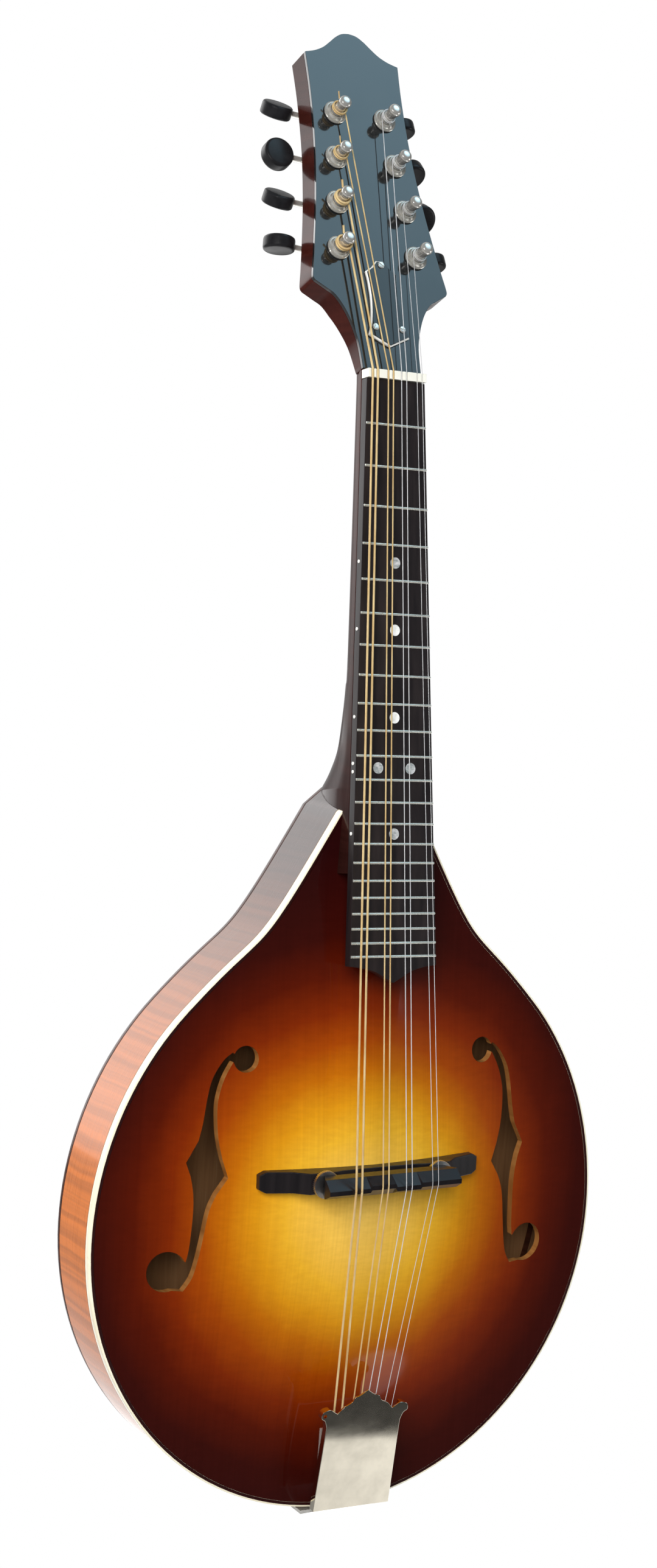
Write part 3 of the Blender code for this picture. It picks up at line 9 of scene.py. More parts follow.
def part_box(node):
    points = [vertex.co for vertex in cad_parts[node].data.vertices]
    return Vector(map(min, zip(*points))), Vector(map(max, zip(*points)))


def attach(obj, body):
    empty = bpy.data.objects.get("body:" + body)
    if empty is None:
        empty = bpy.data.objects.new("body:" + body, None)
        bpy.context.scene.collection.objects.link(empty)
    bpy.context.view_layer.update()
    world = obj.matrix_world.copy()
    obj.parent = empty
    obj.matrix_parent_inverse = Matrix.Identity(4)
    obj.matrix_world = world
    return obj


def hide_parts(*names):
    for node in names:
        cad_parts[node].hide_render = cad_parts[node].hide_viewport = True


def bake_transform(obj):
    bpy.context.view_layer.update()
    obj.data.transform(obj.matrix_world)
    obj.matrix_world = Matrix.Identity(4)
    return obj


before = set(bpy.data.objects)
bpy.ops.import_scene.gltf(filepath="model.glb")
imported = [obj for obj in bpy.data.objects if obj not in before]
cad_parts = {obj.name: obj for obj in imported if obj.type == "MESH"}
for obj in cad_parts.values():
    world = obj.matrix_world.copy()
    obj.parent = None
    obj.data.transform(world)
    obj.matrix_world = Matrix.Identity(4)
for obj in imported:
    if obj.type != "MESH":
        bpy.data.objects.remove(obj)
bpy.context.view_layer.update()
bpy.ops.object.select_all(action="DESELECT")

# The camera stands in front of the instrument, a step to its bass side, and looks slightly down the whole
# length through a moderate telephoto lens. The picture keeps plain white as white.
lens = bpy.data.cameras.new("camera")
lens.lens = 57.07
lens.sensor_width = 36
lens.shift_x = 0.0006
lens.shift_y = 0.0028
lens.clip_start = 0.02
camera = bpy.data.objects.new("camera", lens)
camera.location = (-0.55083, -0.96181, -0.07954)
camera.rotation_euler = [math.radians(angle) for angle in (84.6978, -3.8972, -28.5123)]
bpy.context.scene.collection.objects.link(camera)
bpy.context.scene.camera = camera
bpy.context.scene.view_settings.view_transform = "Standard"

# The studio is a white room with a pale floor well below the hanging instrument. Soft windows light it from
# behind on the left and from above the head, and it is dim in front, so that the gloss of the top stays dark.
FLOOR_SIZE = 14
FLOOR_PLACE = (0, 6.446, -0.9)
FRONT_EDGE_SLOPE = 0.125
FRONT_EDGE_PIVOT = 0.37
LAMPS = (
    ("key_left", (-1.05, -1.32, 0.42), (0, 0, -0.33), 1.1, 44, (1, 0.99, 0.97), False),
    ("sparkle", (-0.95, -1.3, 0.5), (0, 0, -0.1), 0.22, 1.6, (1, 0.99, 0.97), True),
    ("low_left", (-1.3, 0.1, -0.62), (-0.05, 0, -0.38), 0.7, 4.5, (1, 0.97, 0.94), False),
    ("right", (1.5, -0.7, -0.2), (0, 0, -0.3), 0.6, 2.5, (1, 0.98, 0.96), True),
)


def builder(tree):
    """A function that adds a node to a tree, with its inputs, as values or links, and its settings."""

    def add(kind, inputs=None, **settings):
        node = tree.nodes.new("ShaderNode" + kind)
        for setting, value in settings.items():
            setattr(node, setting, value)
        for socket, value in (inputs or {}).items():
            if isinstance(value, bpy.types.NodeSocket):
                tree.links.new(value, node.inputs[socket])
            else:
                node.inputs[socket].default_value = value
        return node

    return add


def mapped(add, value, low, high, to_low, to_high, **settings):
    """A value spread from one range over another."""
    return add("MapRange", {0: value, 1: low, 2: high, 3: to_low, 4: to_high}, **settings).outputs[0]


def maths(add, first, second, kind="MULTIPLY"):
    return add("Math", {0: first, 1: second}, operation=kind).outputs[0]


def tinted(add, base, over, share, kind="MULTIPLY"):
    """One colour laid over another."""
    return add("Mix", {0: share, 6: base, 7: over}, data_type="RGBA", blend_type=kind).outputs[2]


def patch(add, way, direction, low, high, level):
    """A soft pale area of wall round a direction."""
    toward = add("VectorMath", {0: way, 1: Vector(direction).normalized()}, operation="DOT_PRODUCT")
    return mapped(add, toward.outputs["Value"], low, high, 0.0, level, interpolation_type="SMOOTHSTEP")


def light_room():
    """White walls to the camera; for the instrument, dim in front and bright behind, with two windows."""
    room = bpy.data.worlds.new("studio")
    room.use_nodes = True
    bpy.context.scene.world = room
    add = builder(room.node_tree)
    way = add("TexCoord").outputs["Generated"]
    depth = add("SeparateXYZ", {0: way}).outputs[1]
    behind = mapped(add, depth, -0.1, 0.75, 0.055, 0.5, interpolation_type="SMOOTHSTEP")
    window = patch(add, way, (-0.38, 0.84, 0.38), 0.84, 0.97, 2.0)
    skylight = patch(add, way, (0.43, -0.38, 0.82), 0.90, 1.06, 0.84)
    sky = tinted(add, (0, 0, 0, 1), (2.2, 3.5, 4.3, 1), skylight, "MIX")
    light = add("VectorMath", {0: maths(add, behind, window, "ADD"), 1: sky}, operation="ADD").outputs[0]
    direct = add("LightPath").outputs["Is Camera Ray"]
    walls = tinted(add, light, (1, 1, 1, 1), direct, "MIX")
    room.node_tree.links.new(walls, room.node_tree.nodes["Background"].inputs["Color"])


def glowing_floor_paper():
    """White paper to the camera; for the instrument, painted light: the paper glows, brighter to the right
    and dark beyond it.
    """
    paper = bpy.data.materials.new("glowing_floor_paper")
    paper.use_nodes = True
    add = builder(paper.node_tree)
    spot = add("TexCoord").outputs["Object"]
    across = add("VectorMath", {0: spot, 1: (1, 0.35, 0)}, operation="DOT_PRODUCT").outputs["Value"]
    graded = mapped(add, across, -2.4, -1.66, 0.3, 1.9)
    faded = mapped(add, add("SeparateXYZ", {0: spot}).outputs[0], 0.6, 1.0, 1.0, 0.12)
    direct = add("LightPath").outputs["Is Camera Ray"]
    # Painted light: the floor's own glow stands in for lamp light falling on the paper.
    level = mapped(add, direct, 0.0, 1.0, maths(add, graded, faded), 1.0)
    glow = add("Emission", {"Strength": level}).outputs[0]
    paper.node_tree.links.new(glow, paper.node_tree.nodes["Material Output"].inputs[0])
    return paper


light_room()
bpy.ops.mesh.primitive_plane_add(size=FLOOR_SIZE, location=FLOOR_PLACE)
floor = bpy.context.object
floor.name = "floor"
for corner in floor.data.vertices:
    if corner.co.y < 0:
        corner.co.y += FRONT_EDGE_SLOPE * (corner.co.x - FRONT_EDGE_PIVOT)
floor.data.materials.append(glowing_floor_paper())
for name, spot, aim, size, power, colour, glints in LAMPS:
    lamp = bpy.data.lights.new(name, "AREA")
    lamp.size = size
    lamp.energy = power
    lamp.color = colour
    holder = bpy.data.objects.new(name, lamp)
    holder.location = spot
    holder.rotation_euler = (Vector(aim) - Vector(spot)).to_track_quat("-Z", "Y").to_euler()
    holder.visible_glossy = glints
    bpy.context.scene.collection.objects.link(holder)

# The sides are two strips of flamed maple, bent to the outline over a hot iron and matched at the tail and
# the neck. Linings glued inside their edges carry the top and the back.
JOINT_Z = -0.20421
NOSE_Z = -0.18301
NOSE_HALF_WIDTH = 0.0115
WIDEST_Z = -0.37621
ARCH_Z = -0.36001
HALF_WIDTH = 0.1282
LOWER_HEIGHT = 0.1313
UPPER_HEIGHT = 0.138
SHOULDER_ANGLE = 0.799
SHOULDER_PULL = 0.0586
SHOULDER_END = (0.0204, JOINT_Z + 0.0138)
NECK_PULL = 0.08265
RIM_FRONT = -0.013571
RIM_BACK = 0.022429
RIM_WALL = 0.002
LINING_WIDTH = 0.006
PIN_Y = 0.004429
PIN_HOLE_RADIUS = 0.0033
PIN_HOLE_Z = -0.50751
AWAY_FROM_NECK = Vector((-0.579, 1)).normalized()


def body_half():
    """The right half of the body's outline from the tail to the middle of the nose, as (x, z)."""

    def oval(angle, height):
        return Vector((HALF_WIDTH * math.cos(angle), WIDEST_Z + height * math.sin(angle)))

    half = [oval(math.pi / 2 * (step / 36 - 1), LOWER_HEIGHT) for step in range(36)]
    half[0].x = 0
    half += [oval(SHOULDER_ANGLE * step / 20, UPPER_HEIGHT) for step in range(20)]
    start = oval(SHOULDER_ANGLE, UPPER_HEIGHT)
    slope = Vector((-HALF_WIDTH * math.sin(SHOULDER_ANGLE), UPPER_HEIGHT * math.cos(SHOULDER_ANGLE)))
    first_pull = start + slope.normalized() * SHOULDER_PULL
    end = Vector(SHOULDER_END)
    second_pull = end - AWAY_FROM_NECK * NECK_PULL
    for step in range(30):
        t = step / 30
        near = start * (1 - t) ** 3 + first_pull * 3 * t * (1 - t) ** 2
        half.append(near + second_pull * 3 * t**2 * (1 - t) + end * t**3)
    nose_corner = Vector((NOSE_HALF_WIDTH, NOSE_Z))
    half += [end.lerp(nose_corner, step / 3) for step in range(3)]
    return half + [nose_corner, Vector((0, NOSE_Z))]


half_outline = body_half()
body_outline = half_outline + [Vector((-point.x, point.y)) for point in half_outline[::-1] if point.x > 0]


def drawn_in(outline, distance):
    """An outline drawn in by a distance, square to its sides."""
    drawn = []
    for place, here in enumerate(outline):
        first = (here - outline[place - 1]).normalized()
        second = (outline[(place + 1) % len(outline)] - here).normalized()
        normal = Vector((-first.y - second.y, first.x + second.x)).normalized()
        drawn.append(here + normal * distance / max(0.5, math.cos(first.angle(second) / 2)))
    return drawn


def lay_out(name, corners):
    """A circle with a corner for each place, pulled onto the places. It is left selected, in edit mode."""
    bpy.ops.object.select_all(action="DESELECT")
    bpy.ops.mesh.primitive_circle_add(vertices=len(corners), radius=0.05)
    piece = bpy.context.object
    piece.name = name
    for vertex, corner in zip(piece.data.vertices, corners):
        vertex.co = corner
    bpy.ops.object.mode_set(mode="EDIT")
    bpy.ops.mesh.select_all(action="SELECT")
    return piece


def tidy(piece):
    """Merges doubles, turns every face outward and leaves edit mode."""
    bpy.ops.mesh.select_mode(type="VERT")
    bpy.ops.mesh.select_all(action="SELECT")
    bpy.ops.mesh.remove_doubles(threshold=0.000002)
    bpy.ops.mesh.normals_make_consistent(inside=False)
    bpy.ops.object.mode_set(mode="OBJECT")
    return piece


def strip(name, section):
    """A strip round the body, drawn out from one (inward, y) corner of its section to the next and closed."""
    rings = [[(x, y, z) for x, z in drawn_in(body_outline, inward)] for inward, y in section]
    piece = lay_out(name, rings[0])
    for ring in rings[1:]:
        bpy.ops.mesh.extrude_region_move()
        work = bmesh.from_edit_mesh(piece.data)
        for vertex, corner in zip([vertex for vertex in work.verts if vertex.select], ring):
            vertex.co = corner
        bmesh.update_edit_mesh(piece.data)
    bpy.ops.mesh.select_all(action="DESELECT")
    bpy.ops.mesh.select_mode(type="EDGE")
    bpy.ops.mesh.select_non_manifold()
    bpy.ops.mesh.bridge_edge_loops()
    return tidy(piece)


def only(piece):
    """Makes a piece the one that is selected and active."""
    bpy.ops.object.select_all(action="DESELECT")
    piece.select_set(True)
    bpy.context.view_layer.objects.active = piece


def worked(piece, kind, **settings):
    """Adds a modifier with its settings and applies it."""
    only(piece)
    change = piece.modifiers.new(kind.lower(), kind)
    for setting, value in settings.items():
        setattr(change, setting, value)
    bpy.ops.object.modifier_apply(modifier=change.name)
    return piece


def cut(piece, tool, operation="DIFFERENCE"):
    """Cuts a tool's shape out of a piece, or joins it on, and throws the tool away."""
    worked(piece, "BOOLEAN", object=tool, operation=operation, solver="EXACT")
    bpy.data.objects.remove(tool)
    return piece


def bar(radius, length, corners, spot=(0, 0, 0), turn=(math.pi / 2, 0, 0)):
    """A round bar, along Y unless it is turned another way."""
    bpy.ops.mesh.primitive_cylinder_add(
        vertices=corners, radius=radius, depth=length, location=spot, rotation=turn
    )
    bpy.ops.object.transform_apply()
    return bpy.context.object


def hand_over(piece, finish, slot, *nodes, body="instrument", crease=32, flat=False):
    """Shades a finished piece, gives it its finish and its body, and hides the CAD nodes that it stands for.
    """
    only(piece)
    bpy.ops.object.shade_smooth_by_angle(angle=math.radians(crease))
    if flat:
        worked(piece, "WEIGHTED_NORMAL", mode="FACE_AREA", weight=80, keep_sharp=True)
    piece.data.materials.clear()
    piece.data.materials.append(finish)
    if nodes:
        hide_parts(*nodes)
    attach(piece, body)
    return piece


def new_finish(name):
    """A material, its shader and the function that adds its nodes."""
    finish = bpy.data.materials.new(name)
    finish.use_nodes = True
    return finish, finish.node_tree.nodes["Principled BSDF"], builder(finish.node_tree)


def set_shader(shader, **values):
    """Sets plain values and links on the shader's own sockets, by their names with _ for a space."""
    for name, value in values.items():
        socket = shader.inputs[name.replace("_", " ")]
        if isinstance(value, bpy.types.NodeSocket):
            shader.id_data.links.new(value, socket)
        else:
            socket.default_value = value


def shaded(add, factor, stops):
    """A colour that follows a factor through (place, colour) stops."""
    node = add("ValToRGB", {0: factor})
    ramp = node.color_ramp
    for end in (0, -1):
        ramp.elements[end].position = stops[end][0]
        ramp.elements[end].color = (*stops[end][1], 1)
    for place, colour in stops[1:-1]:
        ramp.elements.new(place).color = (*colour, 1)
    return node.outputs[0]


def streaks(add, scale, detail=3.0, rough=0.55):
    """Noise with a scale for each axis, such as the lines of a wood's grain."""
    source = add("TexCoord").outputs["Object"]
    vector = add("Mapping", {"Vector": source, "Scale": scale}).outputs[0]
    inputs = {"Vector": vector, "Scale": 1, "Detail": detail, "Roughness": rough}
    return add("TexNoise", inputs).outputs[0]


def varied(add, noise, low, high):
    """A measure that follows a noise from low to high."""
    return mapped(add, noise, 0.3, 0.7, low, high)


def axis(add, number):
    """Where a place lies along one axis."""
    return add("SeparateXYZ", {0: add("TexCoord").outputs["Object"]}).outputs[number]


def bumped(add, height, strength, distance=0.0002):
    return add("Bump", {"Strength": strength, "Distance": distance, "Height": height}).outputs[0]


def noted(add, name):
    """What is noted on the mesh under a name."""
    return add("Attribute", attribute_name=name).outputs["Fac"]


def maple(name, stain, flame_axis, flame_scale, flame_depth, grain_scale, gloss, coat, sheen):
    """Flamed maple: a stain, darker flames across the grain, fine lines along it, and bare wood darkened with
    painted shade where noted.
    """
    finish, shader, add = new_finish(name)
    waver = streaks(add, (18, 18, 18), 2)
    moved = maths(add, maths(add, flame_axis(add), flame_scale), maths(add, waver, 1.6), "ADD")
    inputs = {"W": moved, "Scale": 1, "Detail": 2.5, "Roughness": 0.6}
    flame = add("TexNoise", inputs, noise_dimensions="1D").outputs[0]
    dark = mapped(add, flame, 0.36, 0.62, 1 - flame_depth, 1.12)
    grain = streaks(add, grain_scale, 4)
    level = maths(add, dark, varied(add, grain, 0.93, 1.06))
    lit = add("CombineColor", {0: level, 1: level, 2: level}).outputs[0]
    varnished = tinted(add, stain(add), lit, 1.0)
    # Painted shade: bare maple, darkened to stand in for the shade inside the body.
    inner = shaded(add, grain, ((0.3, (0.20, 0.095, 0.040)), (0.7, (0.27, 0.14, 0.062))))
    wood = tinted(add, varnished, inner, noted(add, "bare"), "MIX")
    rough = varied(add, grain, gloss, gloss + 0.08)
    set_shader(shader, Base_Color=wood, Roughness=rough, Normal=bumped(add, grain, 0.02))
    set_shader(shader, Coat_Weight=coat, Coat_Roughness=0.06, Coat_IOR=1.5, Specular_IOR_Level=sheen)
    return finish


def note(piece, name, domain, values):
    attribute = piece.data.attributes.new(name, "FLOAT", domain)
    attribute.data.foreach_set("value", values)


def mark(piece, wanted, name="bare"):
    """Notes which faces are bare wood, whose colour carries painted shade, or are wanted for something else.
    """
    note(piece, name, "FACE", [1.0 if wanted(face) else 0.0 for face in piece.data.polygons])


def side_run(add):
    return noted(add, "run")


def side_stain(add):
    """Amber in the middle of each side, and dark towards the neck and the tail."""
    stops = (
        (0.0, (0.20, 0.045, 0.010)),
        (0.12, (0.40, 0.105, 0.016)),
        (0.30, (0.56, 0.155, 0.020)),
        (0.48, (0.60, 0.160, 0.020)),
        (0.66, (0.42, 0.115, 0.020)),
        (0.78, (0.18, 0.055, 0.018)),
        (0.88, (0.05, 0.018, 0.012)),
        (1.0, (0.02, 0.010, 0.009)),
    )
    return shaded(add, side_run(add), stops)


def measure_run(piece):
    """Notes on each corner how far it lies round the outline, from 0 at the tail to 1 at the neck."""
    lengths = [0.0]
    for near, far in zip(half_outline, half_outline[1:]):
        lengths.append(lengths[-1] + (far - near).length)
    places = KDTree(len(half_outline))
    for index, point in enumerate(half_outline):
        places.insert((point.x, 0, point.y), index)
    places.balance()
    found = [places.find((abs(vertex.co.x), 0, vertex.co.z))[1] for vertex in piece.data.vertices]
    note(piece, "run", "POINT", [lengths[index] / lengths[-1] for index in found])


def faces_inward(face):
    return face.normal.x * face.center.x + face.normal.z * (face.center.z - ARCH_Z) < 0.001


front = RIM_FRONT + 0.0038
back = RIM_BACK - 0.00305
rebate = RIM_FRONT + 0.00455
side_section = (
    (0.0, rebate),
    (0.0, back),
    (LINING_WIDTH, back),
    (LINING_WIDTH, back - 0.008),
    (RIM_WALL, back - 0.010),
    (RIM_WALL, front + 0.010),
    (LINING_WIDTH, front + 0.008),
    (LINING_WIDTH, front),
    (0.0025, front),
    (0.0025, rebate),
)
sides = strip("sides", side_section)
cut(sides, bar(PIN_HOLE_RADIUS, 0.03, 32, (0, PIN_Y, PIN_HOLE_Z), (0, 0, 0)))
measure_run(sides)
mark(sides, faces_inward)
side_finish = maple(
    "sides_flamed_maple",
    side_stain,
    side_run,
    flame_scale=95,
    flame_depth=0.2,
    grain_scale=(60, 900, 60),
    gloss=0.25,
    coat=0.5,
    sheen=0.35,
)
hand_over(sides, side_finish, "maple_sides", "rim")

# The blocks at the neck and the tail and the two tone bars are plain unvarnished wood, glued inside where
# only a lamp through the sound holes shows them. They keep their CAD solids.
def plain_finish(name, noise, stops, rough, bump, relief=None, distance=0.0002, stained=None, **values):
    """A surface whose colour and sheen follow one noise, with a bump from it or from a relief of its own."""
    finish, shader, add = new_finish(name)
    cloud = streaks(add, *noise)
    height = streaks(add, *relief) if relief else cloud
    colour = shaded(add, cloud, stops)
    if stained:
        colour = tinted(add, colour, stained, noted(add, "stained"), "MIX")
    uneven = bumped(add, height, bump, distance)
    set_shader(shader, Base_Color=colour, Roughness=varied(add, cloud, *rough), Normal=uneven, **values)
    return finish


def bare_wood(name, light, dark):
    stops = ((0.3, dark), (0.7, light))
    return plain_finish(name, ((420, 420, 14), 4), stops, (0.62, 0.78), 0.15, distance=0.0004)


def dress(node, finish):
    """Gives a piece that keeps its CAD solid a finish."""
    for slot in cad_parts[node].material_slots:
        slot.material = finish


block_wood = bare_wood("bare_mahogany", (0.42, 0.22, 0.11), (0.27, 0.12, 0.055))
bar_wood = bare_wood("bare_spruce", (0.70, 0.50, 0.28), (0.52, 0.33, 0.16))
dress("head_block", block_wood)
dress("tail_block", block_wood)
dress("tone_bar_bass", bar_wood)
dress("tone_bar_treble", bar_wood)

# The back is carved from two matched pieces of flamed maple, glued down the middle, and arched like the top.
# It is stained darker than the top, with a little amber left in its middle.
BACK_ARCH = 0.013
OUTER_SHARES = [1 - 0.9 * step / 40 for step in range(41)] + [0.07, 0.045, 0.02]
INNER_SHARES = [1.0, 0.93, 0.88, 0.82, 0.76, 0.69, 0.62, 0.54, 0.46, 0.38, 0.30, 0.22, 0.14, 0.06]


def eased(piece, width, steps=2, above=40):
    """Rounds the edges that are sharper than an angle."""
    limit = math.radians(above)
    return worked(piece, "BEVEL", width=width, segments=steps, limit_method="ANGLE", angle_limit=limit)


def arch(share, height):
    """How far an arched plate stands proud at a share of the way from its middle to its edge."""
    return height * (0.5 * (1 + math.cos(math.pi * min(share / 0.93, 1)))) ** 0.85


def draw_out(move, size=(1, 1, 1), about=(0, 0, 0)):
    """Extrudes what is selected, moves it, and scales it about a point."""
    bpy.ops.mesh.extrude_region_move(TRANSFORM_OT_translate={"value": move})
    if size != (1, 1, 1):
        bpy.ops.transform.resize(value=size, center_override=about)


def arched_plate(name, outline, face, way, height, edge, centre):
    """A plate whose outer face is drawn inward from its edge in rings, and its inner face after it."""

    def draw_rings(shares, thickening):
        for before, share in zip(shares, shares[1:]):
            rise = way * (arch(share, height) - arch(before, height) - thickening * (before - share))
            size = share / before
            draw_out((0, rise, 0), (size, 1, size), (0, 0, ARCH_Z))
        bpy.ops.mesh.merge(type="CENTER")

    plate = lay_out(name, [(x, face, z) for x, z in outline])
    draw_rings(OUTER_SHARES, 0.0)
    bpy.ops.mesh.select_all(action="DESELECT")
    bpy.ops.mesh.select_mode(type="EDGE")
    bpy.ops.mesh.select_non_manifold()
    draw_out((0, -way * edge, 0))
    draw_rings(INNER_SHARES, centre - edge)
    return tidy(plate)


def reach_from(add, centre, weights):
    """How far a place lies from a centre, with each axis weighed."""
    place = add("TexCoord").outputs["Object"]
    centred = add("Mapping", {"Vector": place, "Location": centre}).outputs[0]
    flat = add("VectorMath", {0: centred, 1: weights}, operation="MULTIPLY").outputs[0]
    return add("VectorMath", {0: flat}, operation="LENGTH").outputs["Value"]


def back_stain(add):
    """Brown in the middle of the back, and nearly black round its edge."""
    stops = (
        (0.0, (0.34, 0.12, 0.03)),
        (0.35, (0.24, 0.07, 0.02)),
        (0.65, (0.11, 0.03, 0.012)),
        (0.9, (0.05, 0.016, 0.01)),
    )
    return shaded(add, maths(add, reach_from(add, (0, 0, 0.365), (1, 0, 0.92)), 7.0), stops)


def back_flame(add):
    """Flames that rise from the centre seam on both sides."""
    away = add("Math", {0: axis(add, 0)}, operation="ABSOLUTE").outputs[0]
    return maths(add, axis(add, 2), maths(add, away, 0.22), "ADD")


def inside_back(face):
    """The back's inner face, short of the strip that is glued to the lining."""
    share = math.hypot(face.center.x / HALF_WIDTH, (face.center.z - WIDEST_Z) / LOWER_HEIGHT)
    return face.normal.y < -0.3 and share < 0.96


back_plate = arched_plate("back", body_outline, RIM_BACK, 1, BACK_ARCH, edge=0.003, centre=0.0038)
eased(back_plate, 0.0007, 3, 60)
mark(back_plate, inside_back)
back_finish = maple(
    "back_flamed_maple",
    back_stain,
    back_flame,
    flame_scale=210,
    flame_depth=0.42,
    grain_scale=(620, 60, 22),
    gloss=0.2,
    coat=0.3,
    sheen=0.25,
)
hand_over(back_plate, back_finish, "maple_back", "back_plate")

# The top is two matched pieces of spruce, carved to its arch, with an f-hole sawn through each side. Its
# sunburst is sprayed in clear stains, golden at the bridge and nearly black at the edge, under lacquer.
TOP_ARCH = 0.016
TOP_INSET = 0.00222
EYES = (((0.0605, 0.0943), 0.0058), ((0.0923, 0.1868), 0.009))
OUTER_TOP = (
    (0.0666, 0.0913), (0.0709, 0.0948), (0.0756, 0.1023), (0.0778, 0.1108), (0.0795, 0.1218), (0.0812, 0.1293)
)
OUTER_LOW = ((0.0841, 0.1448), (0.0827, 0.1518), (0.0822, 0.1608), (0.0829, 0.1758), (0.0839, 0.1823))
INNER_LOW = (
    (0.0841, 0.1958), (0.0807, 0.1903), (0.0789, 0.1833), (0.0773, 0.1738), (0.0752, 0.1603), (0.0722, 0.1528)
)
INNER_TOP = (
    (0.0703, 0.1378), (0.0724, 0.1288), (0.0732, 0.1188), (0.0728, 0.1113), (0.0703, 0.1028), (0.0665, 0.0958)
)
UPPER_START = (0.0634, 0.0943)
LOWER_TURN = ((0.0878, 0.1868), (0.09005, 0.19526))
OUTER_NICK = (0.0864, 0.1388)
INNER_NICK = (0.0675, 0.1458)


def through(points, steps):
    """A smooth line through points, with a few steps from each to the next."""
    ends = [points[0], *points, points[-1]]
    line = []
    for a, b, c, d in zip(ends, ends[1:], ends[2:], ends[3:]):
        for step in range(steps):
            t = step / steps
            weights = ((-t + 2 * t**2 - t**3) / 2, (2 - 5 * t**2 + 3 * t**3) / 2)
            weights += ((t + 4 * t**2 - 3 * t**3) / 2, (-(t**2) + t**3) / 2)
            line.append(tuple(sum(w * p[k] for w, p in zip(weights, (a, b, c, d))) for k in (0, 1)))
    line.append(tuple(points[-1]))
    return line


def slab(name, outline, front, back):
    """A flat outline of (x, z) places, filled and drawn out to its thickness."""
    piece = lay_out(name, [(x, front, z) for x, z in outline])
    bpy.ops.mesh.edge_face_add()
    draw_out((0, back - front, 0))
    return tidy(piece)


def f_hole_saw(side):
    """The shape sawn out for one f-hole: two round eyes and the stem between them, nicked at its middle."""
    drops = [UPPER_START, *through(OUTER_TOP, 4), OUTER_NICK, *through(OUTER_LOW, 4)]
    drops += [*LOWER_TURN, *through(INNER_LOW, 4), INNER_NICK, *through(INNER_TOP, 4)]
    stem = [(side * x, JOINT_Z - drop) for x, drop in drops]
    saw = slab("f_hole_saw", stem, RIM_FRONT - 0.03, RIM_FRONT + 0.02)
    for (x, drop), radius in EYES:
        eye = bar(radius, 0.05, 56, (side * x, RIM_FRONT - 0.005, JOINT_Z - drop))
        cut(saw, eye, "UNION")
    return saw


def sawn_or_inner(face):
    """The walls of the f-holes and the inner face, where the spruce shows without stain, in a colour darkened
    with painted shade.
    """
    inside = math.hypot(face.center.x / 0.118, (face.center.z - WIDEST_Z) / 0.13) < 0.93
    return inside and face.normal.y > -0.35


def burst_spruce():
    """The burst over fine straight grain, with a faint shimmer across it."""
    finish, shader, add = new_finish("top_sunburst_spruce")
    wander = maths(add, maths(add, streaks(add, (30, 30, 22), 3), 0.5, "SUBTRACT"), 0.012)
    reach = maths(add, reach_from(add, (0.003, 0, 0.367), (1, 0, 1)), wander, "ADD")
    stops = (
        (0.0, (0.87, 0.57, 0.115)),
        (0.11, (0.83, 0.50, 0.072)),
        (0.19, (0.76, 0.405, 0.024)),
        (0.255, (0.64, 0.27, 0.007)),
        (0.32, (0.46, 0.125, 0.0018)),
        (0.385, (0.31, 0.050, 0.001)),
        (0.455, (0.18, 0.018, 0.0008)),
        (0.53, (0.082, 0.0062, 0.0008)),
        (0.62, (0.036, 0.0030, 0.0016)),
        (0.80, (0.020, 0.0022, 0.0024)),
        (1.0, (0.014, 0.0022, 0.0028)),
    )
    burst = shaded(add, maths(add, reach, 5.0), stops)
    grain = streaks(add, (1150, 40, 7), 3, 0.5)
    wide = streaks(add, (260, 20, 3), 2, 0.5)
    shimmer = streaks(add, (150, 40, 520), 3, 0.6)
    level = maths(add, varied(add, grain, 0.95, 1.035), varied(add, wide, 0.975, 1.02))
    level = maths(add, level, varied(add, shimmer, 0.95, 1.045))
    green = maths(add, level, 1.25, "POWER")
    blue = maths(add, level, 1.6, "POWER")
    lit = add("CombineColor", {0: level, 1: green, 2: blue}).outputs[0]
    # Painted shade: bare spruce, darkened to stand in for the shade inside the body and in the f-holes.
    sawn_and_shaded = shaded(add, grain, ((0.3, (0.23, 0.085, 0.020)), (0.7, (0.37, 0.16, 0.045))))
    colour = tinted(add, tinted(add, burst, lit, 1.0), sawn_and_shaded, noted(add, "bare"), "MIX")
    rough = varied(add, grain, 0.34, 0.42)
    set_shader(shader, Base_Color=colour, Roughness=rough, Normal=bumped(add, grain, 0.04))
    set_shader(shader, Coat_Weight=0.7, Coat_Roughness=0.035, Coat_IOR=1.5, Specular_IOR_Level=0.04)
    return finish


inset = drawn_in(body_outline, TOP_INSET)
top = arched_plate("top", inset, RIM_FRONT, -1, TOP_ARCH, edge=0.0035, centre=0.0044)
for side in (1, -1):
    cut(top, f_hole_saw(side))
mark(top, sawn_or_inner)
hand_over(top, burst_spruce(), "spruce_sunburst", "top_plate")

# The binding is a strip of cream celluloid let into the top's edge. It is glued, scraped flush with the top
# and the sides and polished, and only a thin line of its front face is left clear of the top's stain.
BINDING_WIDTH = 0.0022
BINDING_HEIGHT = 0.0045
CLEAR_LINE = 0.0008
EDGE_STAIN = (0.020, 0.0024, 0.0024, 1)


def aged_plastic(name, colour, darker, gloss, **values):
    """Cast celluloid: faint cloudy ageing in the colour, and a soft polish."""
    stops = ((0.32, darker), (0.66, colour))
    noise = ((55, 55, 55), 4)
    relief = ((900, 900, 900), 2)
    values = {"Coat_Weight": 0.5, "Coat_Roughness": 0.08, **values}
    return plain_finish(name, noise, stops, (gloss, gloss + 0.1), 0.04, relief, **values)


def stained_strip(face):
    """The inner part of the binding's front face, which is the wider of its two."""
    corners = [binding.data.vertices[index].co for index in face.vertices]
    longest = max((corner - other).length for corner, other in zip(corners, corners[1:] + corners[:1]))
    return face.normal.y < -0.9 and face.area / longest > BINDING_WIDTH / 2


